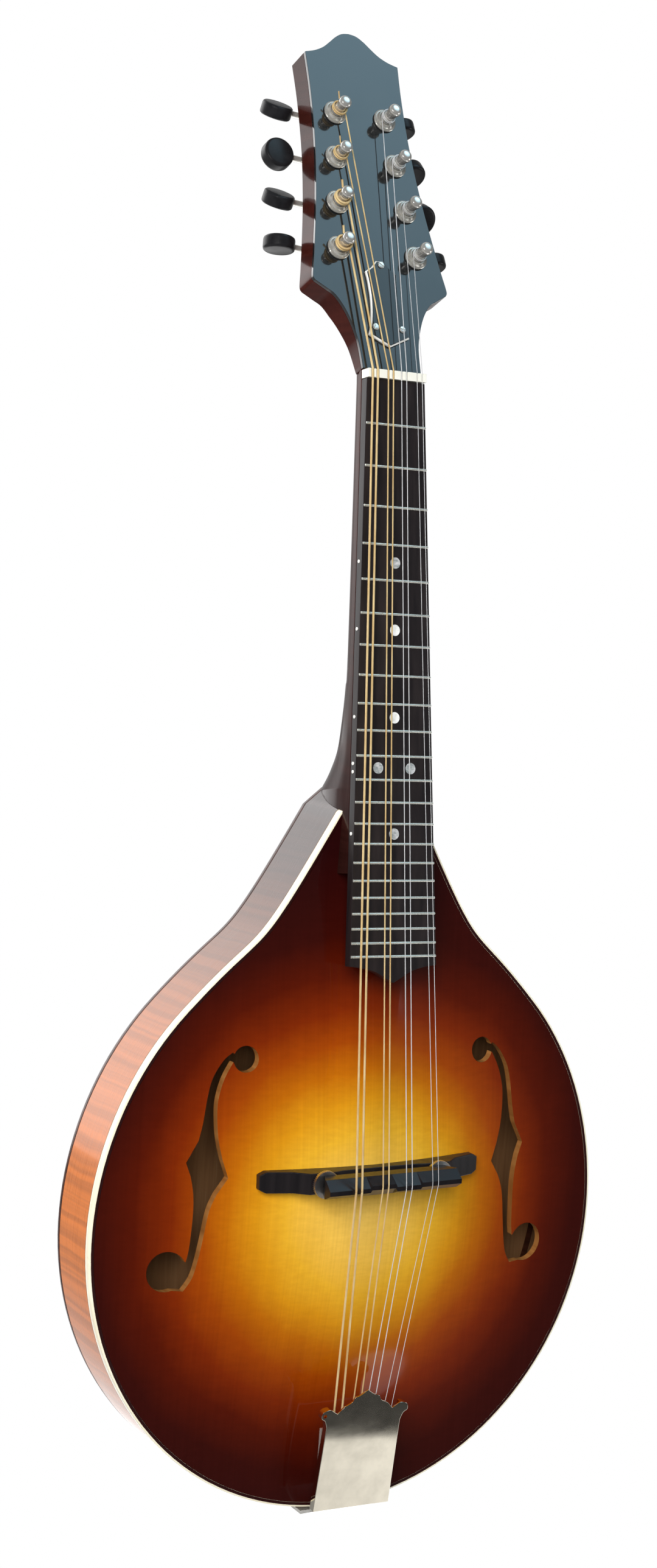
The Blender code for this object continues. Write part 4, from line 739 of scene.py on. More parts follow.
binding_back = RIM_FRONT + BINDING_HEIGHT
binding_section = (
    (0, RIM_FRONT),
    (0, binding_back),
    (BINDING_WIDTH, binding_back),
    (BINDING_WIDTH, RIM_FRONT),
    (CLEAR_LINE, RIM_FRONT),
)
binding = strip("binding", binding_section)
mark(binding, stained_strip, "stained")
eased(binding, 0.0003, 2, 70)
cream = aged_plastic("binding_cream", (0.93, 0.88, 0.70), (0.88, 0.80, 0.60), 0.25, stained=EDGE_STAIN)
hand_over(binding, cream, "cream_binding", "top_binding")

# The neck, its heel and the head are one piece of maple, shaped with rasp and scraper and stained a deep
# red-brown under gloss lacquer. The heel is glued into the body, and a riser carries the board over the top.
SCALE = 0.3524
NUT_WIDTH = 0.0295
BOARD_END_WIDTH = 0.0435
FRET_COUNT = 22
JOINT_FRET = 15
NECK_TOP = 0.0050
HEEL_DEPTH = 0.0492
NECK_SECTION_STEPS = 28
FIRST_POST = (0.0199, 0.0578)
POST_PITCH = 0.0227
ROW_SLANT = math.radians(5.9)
DRILL_RADIUS = 0.0048
HEAD_FRONT = 0.0019
HEAD_BACK = 0.014
HEAD_OUTLINE = (
    (0.0148, 0.001), (0.0154, 0.0128), (0.0172, 0.021), (0.0203, 0.029), (0.0243, 0.035), (0.0280, 0.0375),
    (0.0336, 0.0409), (0.0344, 0.0424), (0.0341, 0.0455), (0.0321, 0.056), (0.0278, 0.083), (0.0249, 0.110),
    (0.0239, 0.136), (0.0242, 0.155), (0.0192, 0.15645), (0.0146, 0.1588), (0.0108, 0.16195),
    (0.0072, 0.1652), (0.0037, 0.16735), (0.0, 0.168),
)
neck_frame = Matrix.Rotation(math.radians(-7.5), 4, "X")
head_tilt = Matrix.Rotation(math.radians(-14.3), 4, "X")
head_frame = neck_frame @ Matrix.Translation((0, 0.0032, 0.004)) @ head_tilt


def fret_distance(number):
    return SCALE * (1 - 2 ** (-number / 12))


def board_half(distance):
    """Half the fretboard's width at a distance from the nut."""
    return (NUT_WIDTH + (BOARD_END_WIDTH - NUT_WIDTH) / fret_distance(FRET_COUNT) * distance) / 2


def mirrored(half):
    """A whole outline from its right half."""
    return list(half) + [(-x, z) for x, z in half[::-1] if x > 0.00001]


def head_half():
    """The head's right half, smooth between its corners."""
    flare = through(HEAD_OUTLINE[:6], 4)
    side = through(HEAD_OUTLINE[6:14], 4)
    crown = through(HEAD_OUTLINE[13:], 4)
    return flare + side + crown[1:]


def pick_faces(piece, wanted):
    """Opens a piece in edit mode with only the wanted faces selected."""
    only(piece)
    bpy.ops.object.mode_set(mode="EDIT")
    bpy.ops.mesh.select_mode(type="FACE")
    bpy.ops.mesh.select_all(action="DESELECT")
    work = bmesh.from_edit_mesh(piece.data)
    for face in work.faces:
        face.select_set(wanted(face))
    bmesh.update_edit_mesh(piece.data)


def joined(name, pieces):
    """Several pieces made one."""
    bpy.ops.object.select_all(action="DESELECT")
    for piece in pieces:
        piece.select_set(True)
    bpy.context.view_layer.objects.active = pieces[0]
    bpy.ops.object.join()
    pieces[0].name = name
    return pieces[0]


def post_spots():
    """Each tuner's side (-1 bass), row from the nut, and post centre across and along the head."""
    for side in (-1, 1):
        for row in range(4):
            across = FIRST_POST[0] - row * POST_PITCH * math.sin(ROW_SLANT)
            yield side, row, side * across, FIRST_POST[1] + row * POST_PITCH * math.cos(ROW_SLANT)


def post_drill():
    """Eight drills in one piece, one for each tuner post, square to the head."""
    drills = [bar(DRILL_RADIUS, 0.034, 40, (x, 0.007, along)) for side, row, x, along in post_spots()]
    return joined("drills", drills[-1:] + drills[:-1])


def chisel(name, low, high, setting=Matrix()):
    """A square-ended cutter between two corners, set in a frame."""
    bpy.ops.mesh.primitive_cube_add(size=1, location=(Vector(low) + Vector(high)) / 2)
    block = bpy.context.object
    block.name = name
    block.scale = Vector(high) - Vector(low)
    bpy.ops.object.transform_apply()
    block.data.transform(setting)
    return block


def neck_blank():
    """The neck from the head to the joint, drawn out section by section behind a flat top."""
    joint = fret_distance(JOINT_FRET)
    heel = joint - 0.047
    curve = ((-0.009, 0.518), (0.002, 0.60), (0.008, 0.681), (0.013, 0.787), (0.018, 0.909), (0.023, 1.057))
    depths = [(0.0, 0.0156), (fret_distance(7), 0.019), (heel - 0.022, 0.02166)]
    depths += [(heel + past, HEEL_DEPTH * share) for past, share in curve]
    smooth = through(depths, 5) + [(joint + 0.013, HEEL_DEPTH * 1.057)]
    rows = [(-0.017, 0.014, 0.0088, 0.0121), (-0.010, 0.0145, 0.0069, 0.0138)]
    rows += [(-0.0046, 0.01475, 0.0056, 0.015), (-0.0040, 0.01475, NECK_TOP, 0.0156)]
    rows += [(distance, board_half(distance), NECK_TOP, depth) for distance, depth in smooth]
    away, half, top, depth = rows[0]
    steps = [math.pi * step / NECK_SECTION_STEPS for step in range(NECK_SECTION_STEPS + 1)]
    neck = lay_out("neck_and_head", [(half * math.cos(a), top + depth * math.sin(a), -away) for a in steps])
    bpy.ops.mesh.edge_face_add()
    for before, row in zip(rows, rows[1:]):
        move = (0, row[2] - before[2], before[0] - row[0])
        draw_out(move, (row[1] / before[1], row[3] / before[3], 1), (0, row[2], -row[0]))
    return tidy(neck)


def head_blank():
    """The head behind its front plate, with its back edges eased more and more towards the neck."""
    head = slab("head_wood", mirrored(head_half()), HEAD_FRONT, HEAD_BACK)
    pick_faces(head, lambda face: face.normal.y > 0.9)
    draw_out((0, 0, 0), (1, 1, 0.992), (0, 0, 0.085))
    bpy.ops.object.mode_set(mode="OBJECT")
    for vertex in head.data.vertices:
        if vertex.co.y > HEAD_BACK - 0.0001:
            ease = max(0.0009, 0.0075 * (1 - vertex.co.z / 0.035))
            if vertex.select:
                vertex.co.x *= 1 - ease / max(abs(vertex.co.x), 0.0148)
            else:
                vertex.co.y -= ease
    head.data.update()
    return head


def neck_stain(add):
    """Nearly black at the heel, and a little redder towards the head."""
    stops = (
        (0.0, (0.02, 0.006, 0.005)),
        (0.3, (0.03, 0.008, 0.006)),
        (0.7, (0.05, 0.010, 0.007)),
        (1.0, (0.034, 0.009, 0.007)),
    )
    return shaded(add, mapped(add, axis(add, 2), -0.24, 0.16, 0, 1), stops)


def neck_flame(add):
    return axis(add, 2)


neck = neck_blank()
head = head_blank()
neck.data.transform(neck_frame)
head.data.transform(head_frame)
cut(neck, head, "UNION")
body_slab = slab("body_slab", drawn_in(body_outline, -0.0003), RIM_FRONT - 0.0003, RIM_BACK + 0.05)
cut(neck, chisel("heel_trim", (-0.05, RIM_BACK, NOSE_Z - 0.05), (0.05, RIM_BACK + 0.05, NOSE_Z + 0.05)))
cut(neck, body_slab)
eased(neck, 0.0003, 2, 50)
channel_end = -fret_distance(JOINT_FRET) + 0.0277
cut(neck, chisel("rod_channel", (-0.0027, 0.0045, channel_end), (0.0027, 0.0145, 0.007), neck_frame))
pocket_low = (head_frame.inverted() @ (neck_frame @ Vector((0, 0.0085, 0.007)))).z - 0.0006
cut(neck, chisel("nut_pocket", (-0.005, -0.01, pocket_low), (0.005, 0.0113, 0.040), head_frame))
drill = post_drill()
drill.data.transform(head_frame)
cut(neck, drill)
neck_finish = maple(
    "neck_red_maple",
    neck_stain,
    neck_flame,
    flame_scale=150,
    flame_depth=0.2,
    grain_scale=(700, 700, 16),
    gloss=0.12,
    coat=0.12,
    sheen=0.08,
)
hand_over(neck, neck_finish, "neck_maple", "neck", crease=40, flat=True)

# The head's face is a thin black veneer, glued on and lacquered to a mirror gloss with the head. It carries
# no name. A thin plate held by three small screws covers the end of the truss rod.
VENEER_BACK = 0.0017
COVER_FRONT = -0.0019
COVER_STEPS = (-0.0003, -0.0011, -0.0015)
COVER_MIDDLE = 0.033
COVER_OUTLINE = (
    (0.0, 0.0118), (0.0104, 0.0169), (0.0086, 0.0225), (0.0072, 0.033), (0.0073, 0.0420), (0.0080, 0.0477),
    (0.0046, 0.0500), (0.0019, 0.0534),
)
COVER_SCREWS = ((0, 0.0512, 35), (-0.0068, 0.0206, -50), (0.0068, 0.0206, 15))


def black_lacquer(name, gloss, coat):
    """Black lacquer: nearly black, with a trace of polishing haze in its sheen."""
    stops = ((0.3, (0.006, 0.007, 0.008)), (0.7, (0.011, 0.012, 0.013)))
    relief = ((600, 600, 380), 3)
    values = {"Coat_Weight": coat, "Coat_Roughness": 0.03, "Coat_IOR": 1.5}
    return plain_finish(name, ((70, 70, 40), 4), stops, (gloss, gloss + 0.06), 0.015, relief, **values)


def metal(name, colour, rough, brushed=(300, 300, 300), depth=0.03, metallic=1.0):
    """Plated metal: its colour and sheen vary faintly with fine polishing lines."""
    finish, shader, add = new_finish(name)
    lines = streaks(add, brushed, 3)
    darker = tuple(0.86 * part for part in colour)
    toned = shaded(add, streaks(add, (110, 110, 110), 3), ((0.3, darker), (0.65, colour)))
    sheen = varied(add, lines, rough, rough * 1.6)
    relief = bumped(add, lines, depth, 0.0001)
    set_shader(shader, Base_Color=toned, Metallic=metallic, Roughness=sheen, Normal=relief)
    return finish


def settled(piece, setting, name=None):
    """A copy of a pattern with its own mesh, set in a frame."""
    copy = piece.copy()
    copy.data = piece.data.copy()
    copy.name = name or piece.name
    copy.data.transform(setting)
    bpy.context.scene.collection.objects.link(copy)
    return copy


def screw_pattern(radius, height):
    """A small domed screw head with a slot, standing out along -Y."""
    screw = bar(radius, height, 32, (0, -height / 2, 0))
    eased(screw, height * 0.45, 4, 60)
    low = (-radius * 1.5, -height * 2, -radius * 0.2)
    high = (radius * 1.5, -height * 0.4, radius * 0.2)
    return cut(screw, chisel("slot", low, high))


headplate = slab("head_face", mirrored(head_half()), 0.0, VENEER_BACK)
eased(headplate, 0.00015, 2, 60)
cut(headplate, post_drill())
cut(headplate, chisel("pocket", (-0.005, -0.01, 0.0179), (0.005, 0.01, 0.040)))
headplate.data.transform(head_frame)
hand_over(headplate, black_lacquer("headplate_gloss_black", 0.08, 1.0), "head_veneer", "headplate", flat=True)

cover_half = [COVER_OUTLINE[0]] + through(COVER_OUTLINE[1:6], 4) + through(COVER_OUTLINE[6:], 2)
core = slab("truss_cover_core", mirrored(cover_half), COVER_STEPS[1], COVER_STEPS[0])
core_top = slab("truss_cover_bevel", mirrored(cover_half), COVER_STEPS[2], COVER_STEPS[1])
pick_faces(core_top, lambda face: face.normal.y < -0.9)
bpy.ops.transform.resize(value=(0.94, 1, 0.975), center_override=(0, 0, COVER_MIDDLE))
bpy.ops.object.mode_set(mode="OBJECT")
cut(core, core_top, "UNION")
core.data.transform(head_frame)
core_white = aged_plastic("cover_white_core", (0.88, 0.88, 0.85), (0.78, 0.78, 0.74), 0.3)
hand_over(core, core_white, "black_plastic", "truss_rod_cover", flat=True)
shrunk = [(x * 0.935, COVER_MIDDLE + (z - COVER_MIDDLE) * 0.972) for x, z in mirrored(cover_half)]
cover = slab("truss_cover", shrunk, COVER_FRONT, COVER_STEPS[2])
eased(cover, 0.00015, 2, 45)
cover.data.transform(head_frame)
cover_black = black_lacquer("cover_black_plastic", 0.16, 0.6)
hand_over(cover, cover_black, "black_plastic", "truss_rod_cover", flat=True)

nickel = metal("bright_nickel", (0.94, 0.92, 0.87), 0.16, depth=0.01, metallic=0.8)
steel = metal("plain_steel", (0.66, 0.66, 0.67), 0.24, (900, 900, 90))
brass = metal("turned_brass", (0.80, 0.60, 0.30), 0.2)
dress("truss_rod", steel)
dress("truss_rod_nut", brass)
pattern = screw_pattern(0.0016, 0.0007)
screws = []
for x, z, turn in COVER_SCREWS:
    spot = head_frame @ Matrix.Translation((x, -0.0018, z)) @ Matrix.Rotation(math.radians(turn), 4, "Y")
    screws.append(settled(pattern, spot))
hand_over(joined("cover_screws", screws), nickel, "nickel")
bpy.data.objects.remove(pattern)

# The fretboard is ebony, flat, with its end sawn to a soft point over the top. Twenty-two nickel-silver frets
# are pressed into slots, and pearl dots are let into its face and small white ones into its edge.
BOARD_THICKNESS = 0.0047
TIP_LENGTH = 0.0075
BOARD_TIP = ((1.0, 0), (0.72, 0.10), (0.42, 0.34), (0.18, 0.72), (0.0, 1.0))
WHITE_DOT_FRETS = (7, 10)
# Painted shade: the dots at these frets are the same pearl made darker, for how little light they catch.
SHADED_DOT_FRETS = (5, 12, 15)
ALONG_X = (0, math.pi / 2, 0)


def ebony(name, gloss, coat, dark=(0.010, 0.008, 0.009), light=(0.022, 0.016, 0.016), sheen=0.5):
    """Oiled ebony: black with faint brown streaks and fine open pores."""
    stops = ((0.35, dark), (0.75, light))
    relief = ((2200, 2200, 110), 2)
    values = {"Coat_Weight": coat, "Coat_Roughness": 0.15, "Specular_IOR_Level": sheen}
    return plain_finish(name, ((240, 240, 9), 4), stops, (gloss, gloss + 0.14), 0.12, relief, **values)


def pearl(name, low, middle, high):
    """Polished shell: cool and warm clouds, with a wet gloss."""
    noise = ((420, 420, 700), 4, 0.6)
    stops = ((0.35, low), (0.5, middle), (0.64, high))
    return plain_finish(name, noise, stops, (0.12, 0.2), 0.06, Coat_Weight=0.8, Coat_Roughness=0.05)


def on_board(distance, across=0.0, under=0.0):
    """A place on the board, from the nut and from its middle, and below its face."""
    return neck_frame @ Matrix.Translation((across, under, -distance))


def let_in(name, pattern, places, finish):
    """Copies of a pattern let into the board and joined."""
    hand_over(joined(name, [settled(pattern, place) for place in places]), finish, "bone_nut")
    bpy.data.objects.remove(pattern)


end = fret_distance(FRET_COUNT) + 0.0042
tip = through([(board_half(end) * share, -end - TIP_LENGTH * drop) for share, drop in BOARD_TIP], 5)
board = slab("board", mirrored([(NUT_WIDTH / 2, 0.0)] + tip), 0.0, BOARD_THICKNESS)
eased(board, 0.0003, 2, 50)
board.data.transform(neck_frame)
hand_over(board, ebony("board_ebony", 0.34, 0.0), "ebony_board", "fretboard", flat=True)

fret = bar(0.0006, 1, 20, turn=ALONG_X)
bpy.ops.object.mode_set(mode="EDIT")
bpy.ops.mesh.select_all(action="SELECT")
bpy.ops.mesh.bisect(plane_co=(0, 0.0002, 0), plane_no=(0, 1, 0), clear_outer=True, use_fill=True)
tidy(fret)
wires = []
for number in range(1, FRET_COUNT + 1):
    distance = fret_distance(number)
    stretch = Matrix.Diagonal((2 * board_half(distance) - 0.0004, 1.25, 1, 1))
    wires.append(settled(fret, on_board(distance) @ stretch))
frets = eased(joined("frets", wires), 0.0004, 3, 60)
bpy.data.objects.remove(fret)
hand_over(frets, metal("fret_nickel_silver", (0.88, 0.88, 0.80), 0.2, metallic=0.75), "plain_steel")

places = {"white": [], "shade_painted": [], "edge": []}
for number in sorted(WHITE_DOT_FRETS + SHADED_DOT_FRETS):
    distance = (fret_distance(number) + fret_distance(number - 1)) / 2
    for across in (-0.0082, 0.0082) if number == 12 else (0,):
        places["white" if number in WHITE_DOT_FRETS else "shade_painted"].append(on_board(distance, across))
    for shift in (-0.0018, 0.0018) if number == 12 else (0,):
        places["edge"].append(on_board(distance - shift, -board_half(distance) - 0.00002, 0.0024))
white_pearl = pearl("dot_pearl", (0.70, 0.72, 0.70), (0.88, 0.89, 0.86), (0.94, 0.92, 0.95))
# Painted shade: the same pearl as the white dots, darkened.
shaded_pearl = pearl("dot_pearl_painted_shade", (0.24, 0.27, 0.28), (0.42, 0.44, 0.44), (0.60, 0.60, 0.62))
edge_white = aged_plastic("side_dot_white", (0.9, 0.9, 0.87), (0.82, 0.81, 0.77), 0.25)
let_in("pearl_dots", bar(0.0025, 0.0012, 48, (0, 0.00054, 0)), places["white"], white_pearl)
let_in("pearl_dots_painted_shade", bar(0.0025, 0.0012, 48, (0, 0.00054, 0)), places["shade_painted"], shaded_pearl)
let_in("side_dots", eased(bar(0.0008, 0.0006, 24, turn=ALONG_X), 0.0001, 2, 60), places["edge"], edge_white)

# The nut is a block of polished bone glued at the end of the board, with eight slots filed for the strings.
# Its corners are rounded by hand.
def refined(node, name, ease, steps=2, above=40):
    """A copy of a CAD solid with its flat faces made whole and its edges eased."""
    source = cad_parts[node]
    piece = source.copy()
    piece.data = source.data.copy()
    piece.parent = None
    piece.name = name
    for key in list(piece.keys()):
        del piece[key]
    bpy.context.scene.collection.objects.link(piece)
    only(piece)
    bpy.ops.object.mode_set(mode="EDIT")
    bpy.ops.mesh.select_all(action="SELECT")
    bpy.ops.mesh.remove_doubles(threshold=0.000005)
    bpy.ops.mesh.dissolve_limited(angle_limit=math.radians(1))
    bpy.ops.mesh.customdata_custom_splitnormals_clear()
    bpy.ops.object.mode_set(mode="OBJECT")
    return eased(piece, ease, steps, above)


nut = refined("nut", "nut_bone", 0.0002)
bone = aged_plastic("nut_bone", (0.88, 0.87, 0.80), (0.80, 0.78, 0.68), 0.28)
hand_over(nut, bone, "bone_nut", "nut", flat=True)

# Each of the eight tuners has a plated post in a pressed-in bushing with a washer, and behind the head a gear
# that a worm turns. The worm's shaft runs in two ears of a long plate to a black button.
WORM_OFFSET = 0.0062
GEAR_Y = 0.018
GEAR_TEETH = 14
KNOB_REACH = 0.0202
WORM_RIDGES = 7
RIDGE_PITCH = 0.00103
PLATE_BACK = 0.0152
PLATE_SCREWS = (-0.0062, 0.0166, 0.0393, 0.062, 0.0797)
BUTTON_TURNS = {-1: (78, 45, 0, 45), 1: (90, 45, 68, 90)}
SIDE_NAMES = {-1: "bass", 1: "treble"}
BUSHING_PROFILE = (
    (0.0033, 0.0027), (0.0036, 0.00285), (0.0040, 0.0027), (0.0042, 0.0022), (0.0045, 0.0015),
    (0.0047, 0.00125), (0.0053, 0.0011), (0.0055, 0.0009), (0.0055, 0.0004), (0.0052, 0.0003),
    (0.0045, 0.0003), (0.0045, -0.008), (0.0033, -0.008),
)
POST_PROFILE = (
    (0.0, 0.0120), (0.0012, 0.01198), (0.0020, 0.0118), (0.0026, 0.0114), (0.0029, 0.0109),
    (0.0030, 0.0104), (0.0030, 0.0096), (0.0028, 0.0092), (0.0025, 0.0089), (0.0025, 0.0034),
    (0.0027, 0.0031), (0.0030, 0.0028), (0.0030, -0.0204), (0.0, -0.0204),
)
KNOB_HALF_PROFILE = (
    (0.0, 0.00315), (0.0058, 0.00312), (0.0065, 0.00298), (0.0070, 0.0026), (0.0072, 0.0021),
    (0.00725, 0.0016),
)


def turned(name, profile, steps=40, ring=False):
    """A profile of (radius, out) places, from a corner drawn out point by point and spun about -Y."""
    bpy.ops.object.select_all(action="DESELECT")
    bpy.ops.mesh.primitive_plane_add(size=0.001)
    piece = bpy.context.object
    piece.name = name
    bpy.ops.object.mode_set(mode="EDIT")
    bpy.ops.mesh.select_all(action="SELECT")
    bpy.ops.mesh.merge(type="CENTER")
    radius, out = profile[0]
    bpy.ops.transform.translate(value=(radius, -out, 0))
    for before, after in zip(profile, profile[1:]):
        move = (after[0] - before[0], before[1] - after[1], 0)
        bpy.ops.mesh.extrude_region_move(TRANSFORM_OT_translate={"value": move})
    if ring:
        bpy.ops.object.mode_set(mode="OBJECT")
        piece.data.edges.add(1)
        piece.data.edges[-1].vertices = (0, len(piece.data.vertices) - 1)
        bpy.ops.object.mode_set(mode="EDIT")
    bpy.ops.mesh.select_all(action="SELECT")
    bpy.ops.mesh.spin(steps=steps, angle=math.tau, center=(0, 0, 0), axis=(0, 1, 0))
    return tidy(piece)


def cogged(name, radius, tooth, thickness, teeth, steps):
    """A toothed disc square to Y, its teeth drawn out of a plain rim."""
    wheel = bar(radius - tooth, thickness, teeth * steps)
    wheel.name = name
    per_turn = teeth * steps / math.tau

    def is_tooth(face):
        spot = face.calc_center_median()
        place = math.floor(math.atan2(spot.z, spot.x) * per_turn)
        return abs(face.normal.y) < 0.5 and place % steps < steps // 2

    pick_faces(wheel, is_tooth)
    grown = radius / (radius - tooth)
    draw_out((0, 0, 0), (grown, 1, grown), (0, 0, 0))
    return tidy(wheel)


def moulded_black():
    """Moulded plastic with a low polish, and faint scuffs from fingers."""
    stops = ((0.3, (0.009, 0.009, 0.010)), (0.7, (0.016, 0.016, 0.018)))
    noise = ((260, 260, 260), 4)
    return plain_finish("button_black_plastic", noise, stops, (0.26, 0.34), 0.015, Specular_IOR_Level=0.25)


def worm_profile():
    """The shaft from the button's end, with the worm's ridges in its middle."""
    profile = [(0.0, 0.0208), (0.0015, 0.0206), (0.0015, 0.0036)]
    for ridge in range(WORM_RIDGES):
        out = 0.0036 - ridge * RIDGE_PITCH
        profile += [(0.0013, out - 0.0001), (0.0019, out - 0.0004)]
        profile += [(0.0019, out - 0.0006), (0.0013, out - 0.0009)]
    return profile + [(0.0015, -0.0037), (0.0015, -0.0066), (0.0, -0.0066)]


bushing = turned("bushing", BUSHING_PROFILE, 48, ring=True)
post = turned("post", POST_PROFILE)
cut(post, bar(0.0008, 0.01, 20, (0, -0.0080, 0), ALONG_X))
gear = cogged("gear", radius=0.00400, tooth=0.0007, thickness=0.003, teeth=GEAR_TEETH, steps=4)
gear.data.transform(Matrix.Translation((0, GEAR_Y, 0)))
cut(post, gear, "UNION")
eased(post, 0.0001, 1, 75)
shaft = turned("shaft", worm_profile(), 28)
quarter_turn = Matrix.Rotation(math.pi / 2, 4, "Z")
knob = turned("knob", KNOB_HALF_PROFILE + tuple((x, -out) for x, out in KNOB_HALF_PROFILE[::-1]), 56)
knob.data.transform(Matrix.Translation((0, -KNOB_REACH, 0)) @ quarter_turn)
button_black = moulded_black()
bushing_nickel = metal("bushing_nickel", (0.94, 0.92, 0.85), 0.18, depth=0.01, metallic=0.8)
for side, row, x, along in post_spots():
    label = f"{SIDE_NAMES[side]}_{row + 1}"
    at = head_frame @ Matrix.Translation((x, 0, along))
    made = settled(bushing, at, f"bushing_{label}")
    hand_over(made, bushing_nickel, "nickel", f"tuner_bushing_{label}")
    made = settled(post, at, f"post_{label}")
    hand_over(made, nickel, "nickel", f"tuner_post_{label}", body=f"post_{label}")
    spot = (x - side * WORM_OFFSET * math.sin(ROW_SLANT), GEAR_Y, along + WORM_OFFSET * math.cos(ROW_SLANT))
    outward = Matrix.Rotation(-ROW_SLANT if side > 0 else math.pi + ROW_SLANT, 4, "Y")
    turn = Matrix.Rotation(math.radians(BUTTON_TURNS[side][row]), 4, "X")
    setting = head_frame @ Matrix.Translation(spot) @ outward @ turn @ quarter_turn
    made = settled(shaft, setting, f"shaft_{label}")
    hand_over(made, nickel, "nickel", f"tuner_button_{label}", body=f"button_{label}")
    made = settled(knob, setting, f"button_{label}")
    hand_over(made, button_black, "button_black", f"tuner_button_{label}", body=f"button_{label}")
pattern = screw_pattern(0.0017, 0.0008)
half_turn = Matrix.Rotation(math.pi, 4, "X")
for side, name in SIDE_NAMES.items():
    plate = refined(f"tuner_plate_{name}", f"plate_{name}", 0.00025)
    hand_over(plate, nickel, "nickel", f"tuner_plate_{name}", flat=True)
    first = Matrix.Translation((side * FIRST_POST[0], 0, FIRST_POST[1]))
    edge = head_frame @ first @ Matrix.Rotation(-side * ROW_SLANT, 4, "Y")
    spots = [edge @ Matrix.Translation((0, PLATE_BACK, z)) @ half_turn for z in PLATE_SCREWS]
    heads = joined(f"plate_screws_{name}", [settled(pattern, spot) for spot in spots])
    hand_over(heads, steel, "nickel")
for spare in (bushing, post, shaft, knob, pattern):
    bpy.data.objects.remove(spare)

# The bridge stands loose on the top under the strings' pressure. Its ebony base carries two steel posts, and
# the thumbwheels on them hold up the stepped ebony saddle.
BRIDGE_BLACKS = ((0.007, 0.006, 0.007), (0.014, 0.011, 0.012))
base = refined("bridge_base", "bridge_foot", 0.0006, 3, 25)
base_ebony = ebony("bridge_foot_ebony", 0.34, 0.05, *BRIDGE_BLACKS)
hand_over(base, base_ebony, "bridge_ebony", "bridge_base", flat=True)
saddle = refined("bridge_saddle", "saddle", 0.00035, 2, 25)
saddle_ebony = ebony("saddle_ebony", 0.26, 0.1, *BRIDGE_BLACKS, 0.3)
hand_over(saddle, saddle_ebony, "bridge_ebony", "bridge_saddle", body="saddle", flat=True)
for name in SIDE_NAMES.values():
    rod = refined(f"bridge_post_{name}", f"wheel_post_{name}", 0.0002)
    hand_over(rod, steel, "plain_steel", f"bridge_post_{name}")
wheel = cogged("wheel", radius=0.00615, tooth=0.00022, thickness=0.0018, teeth=44, steps=4)
cut(wheel, bar(0.0018, 0.01, 32))
eased(wheel, 0.00025, 2, 65)
wheel_metal = metal("wheel_nickel", (0.90, 0.89, 0.87), 0.34)
for name in SIDE_NAMES.values():
    low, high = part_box(f"thumbwheel_{name}")
    made = settled(wheel, Matrix.Translation((low + high) / 2), f"wheel_{name}")
    hand_over(made, wheel_metal, "plain_steel", f"thumbwheel_{name}", body=f"thumbwheel_{name}")
bpy.data.objects.remove(wheel)

# The tailpiece is a bent nickel-plated bracket, held at the tail by the end pin, with eight hooks for the
# strings' loops. Its polished cover slides over them, and the end pin is a turned ebony button.
TAIL_COVER = (
    (0.0194, 0.0), (0.0188, 0.0410), (0.0200, 0.0443), (0.0219, 0.0458), (0.0214, 0.0486),
    (0.0180, 0.0496), (0.0158, 0.0484), (0.0139, 0.0472), (0.0112, 0.0502), (0.0074, 0.0521),
    (0.0062, 0.0542), (0.0037, 0.0551), (0.0, 0.0575),
)
PIN_LOW = -0.50951
PIN_PROFILE = (
    (0.0, -0.014), (0.003, -0.014), (0.003, 0.0), (0.00396, 0.0), (0.00385, 0.0015), (0.0040, 0.0028),
    (0.0052, 0.0036), (0.0059, 0.0043), (0.0060, 0.0050), (0.0056, 0.0059), (0.0046, 0.0064),
    (0.0030, 0.00659), (0.0, 0.00659),
)
bracket = refined("tailpiece_base", "tail_bracket", 0.0002)
hand_over(bracket, nickel, "nickel", "tailpiece_base", flat=True)
cover_frame = Matrix.Translation((0, -0.029971, -0.50231)) @ Matrix.Rotation(math.radians(8.5), 4, "X")
lid_half = [TAIL_COVER[0]] + through(TAIL_COVER[1:8], 4) + through(TAIL_COVER[8:], 3)
lid = slab("tail_cover", mirrored(lid_half), 0.0, 0.0034)
cut(lid, chisel("hollow", (-0.0178, 0.001, -0.02), (0.0178, 0.02, 0.08)))
eased(lid, 0.0003, 3, 50)
cut(lid, bar(0.0009, 0.02, 24, (-0.0203, 0, 0.0468)))
lid.data.transform(cover_frame)
cover_nickel = metal("tail_cover_nickel", (0.82, 0.76, 0.63), 0.04, (60, 900, 60), 0.01)
hand_over(lid, cover_nickel, "nickel", "tailpiece_cover", body="tail_cover", flat=True)
pin = turned("end_button", PIN_PROFILE, 48)
pin.data.transform(Matrix.Translation((0, PIN_Y, PIN_LOW)) @ Matrix.Rotation(math.pi / 2, 4, "X"))
hand_over(pin, ebony("pin_ebony", 0.2, 0.4), "pin_black", "end_pin")

# The eight strings lie in four pairs. The two bass pairs are steel wound with bronze, the treble pairs plain
# steel. Each is hooked at the tail by its loop, runs over the saddle and the nut, and is wound on its post.
BRIDGE_SET_BACK = 0.0012
STRINGS_ABOVE_BOARD = 0.0049
SADDLE_RISE = 0.00054
HOOK_Y = RIM_FRONT - 0.0172
HOOK_Z = -0.47941
HOOK_HALF = 0.0007
FIRST_HOOK = 0.0021
HOOK_PITCH = 0.0042
NUT_Z = (0.0042, 0.0003)
NUT_SLOT_DEPTH = 0.00105
PAIRS_AT_NUT = (0.0034, 0.0114)
PAIR_WIDTH_AT_NUT = 0.0026
PAIRS_AT_SADDLE = (0.006, 0.0194)
PAIR_WIDTH_AT_SADDLE = 0.0029
RIDGE_HALF = Vector((0, 0, 0.0008))
CLEARANCE = 0.00045
POST_WAIST = 0.0025
WAIST_FOOT = 0.0035
STEPS = 20
TURNS = 2.25
STRINGS = (
    ("g", 0.0010, -1, 1, -0.0010),
    ("d", 0.00066, -1, 0, 0.0001),
    ("a", 0.0004, 1, 0, -0.0014),
    ("e", 0.00028, 1, 1, -0.0005),
)
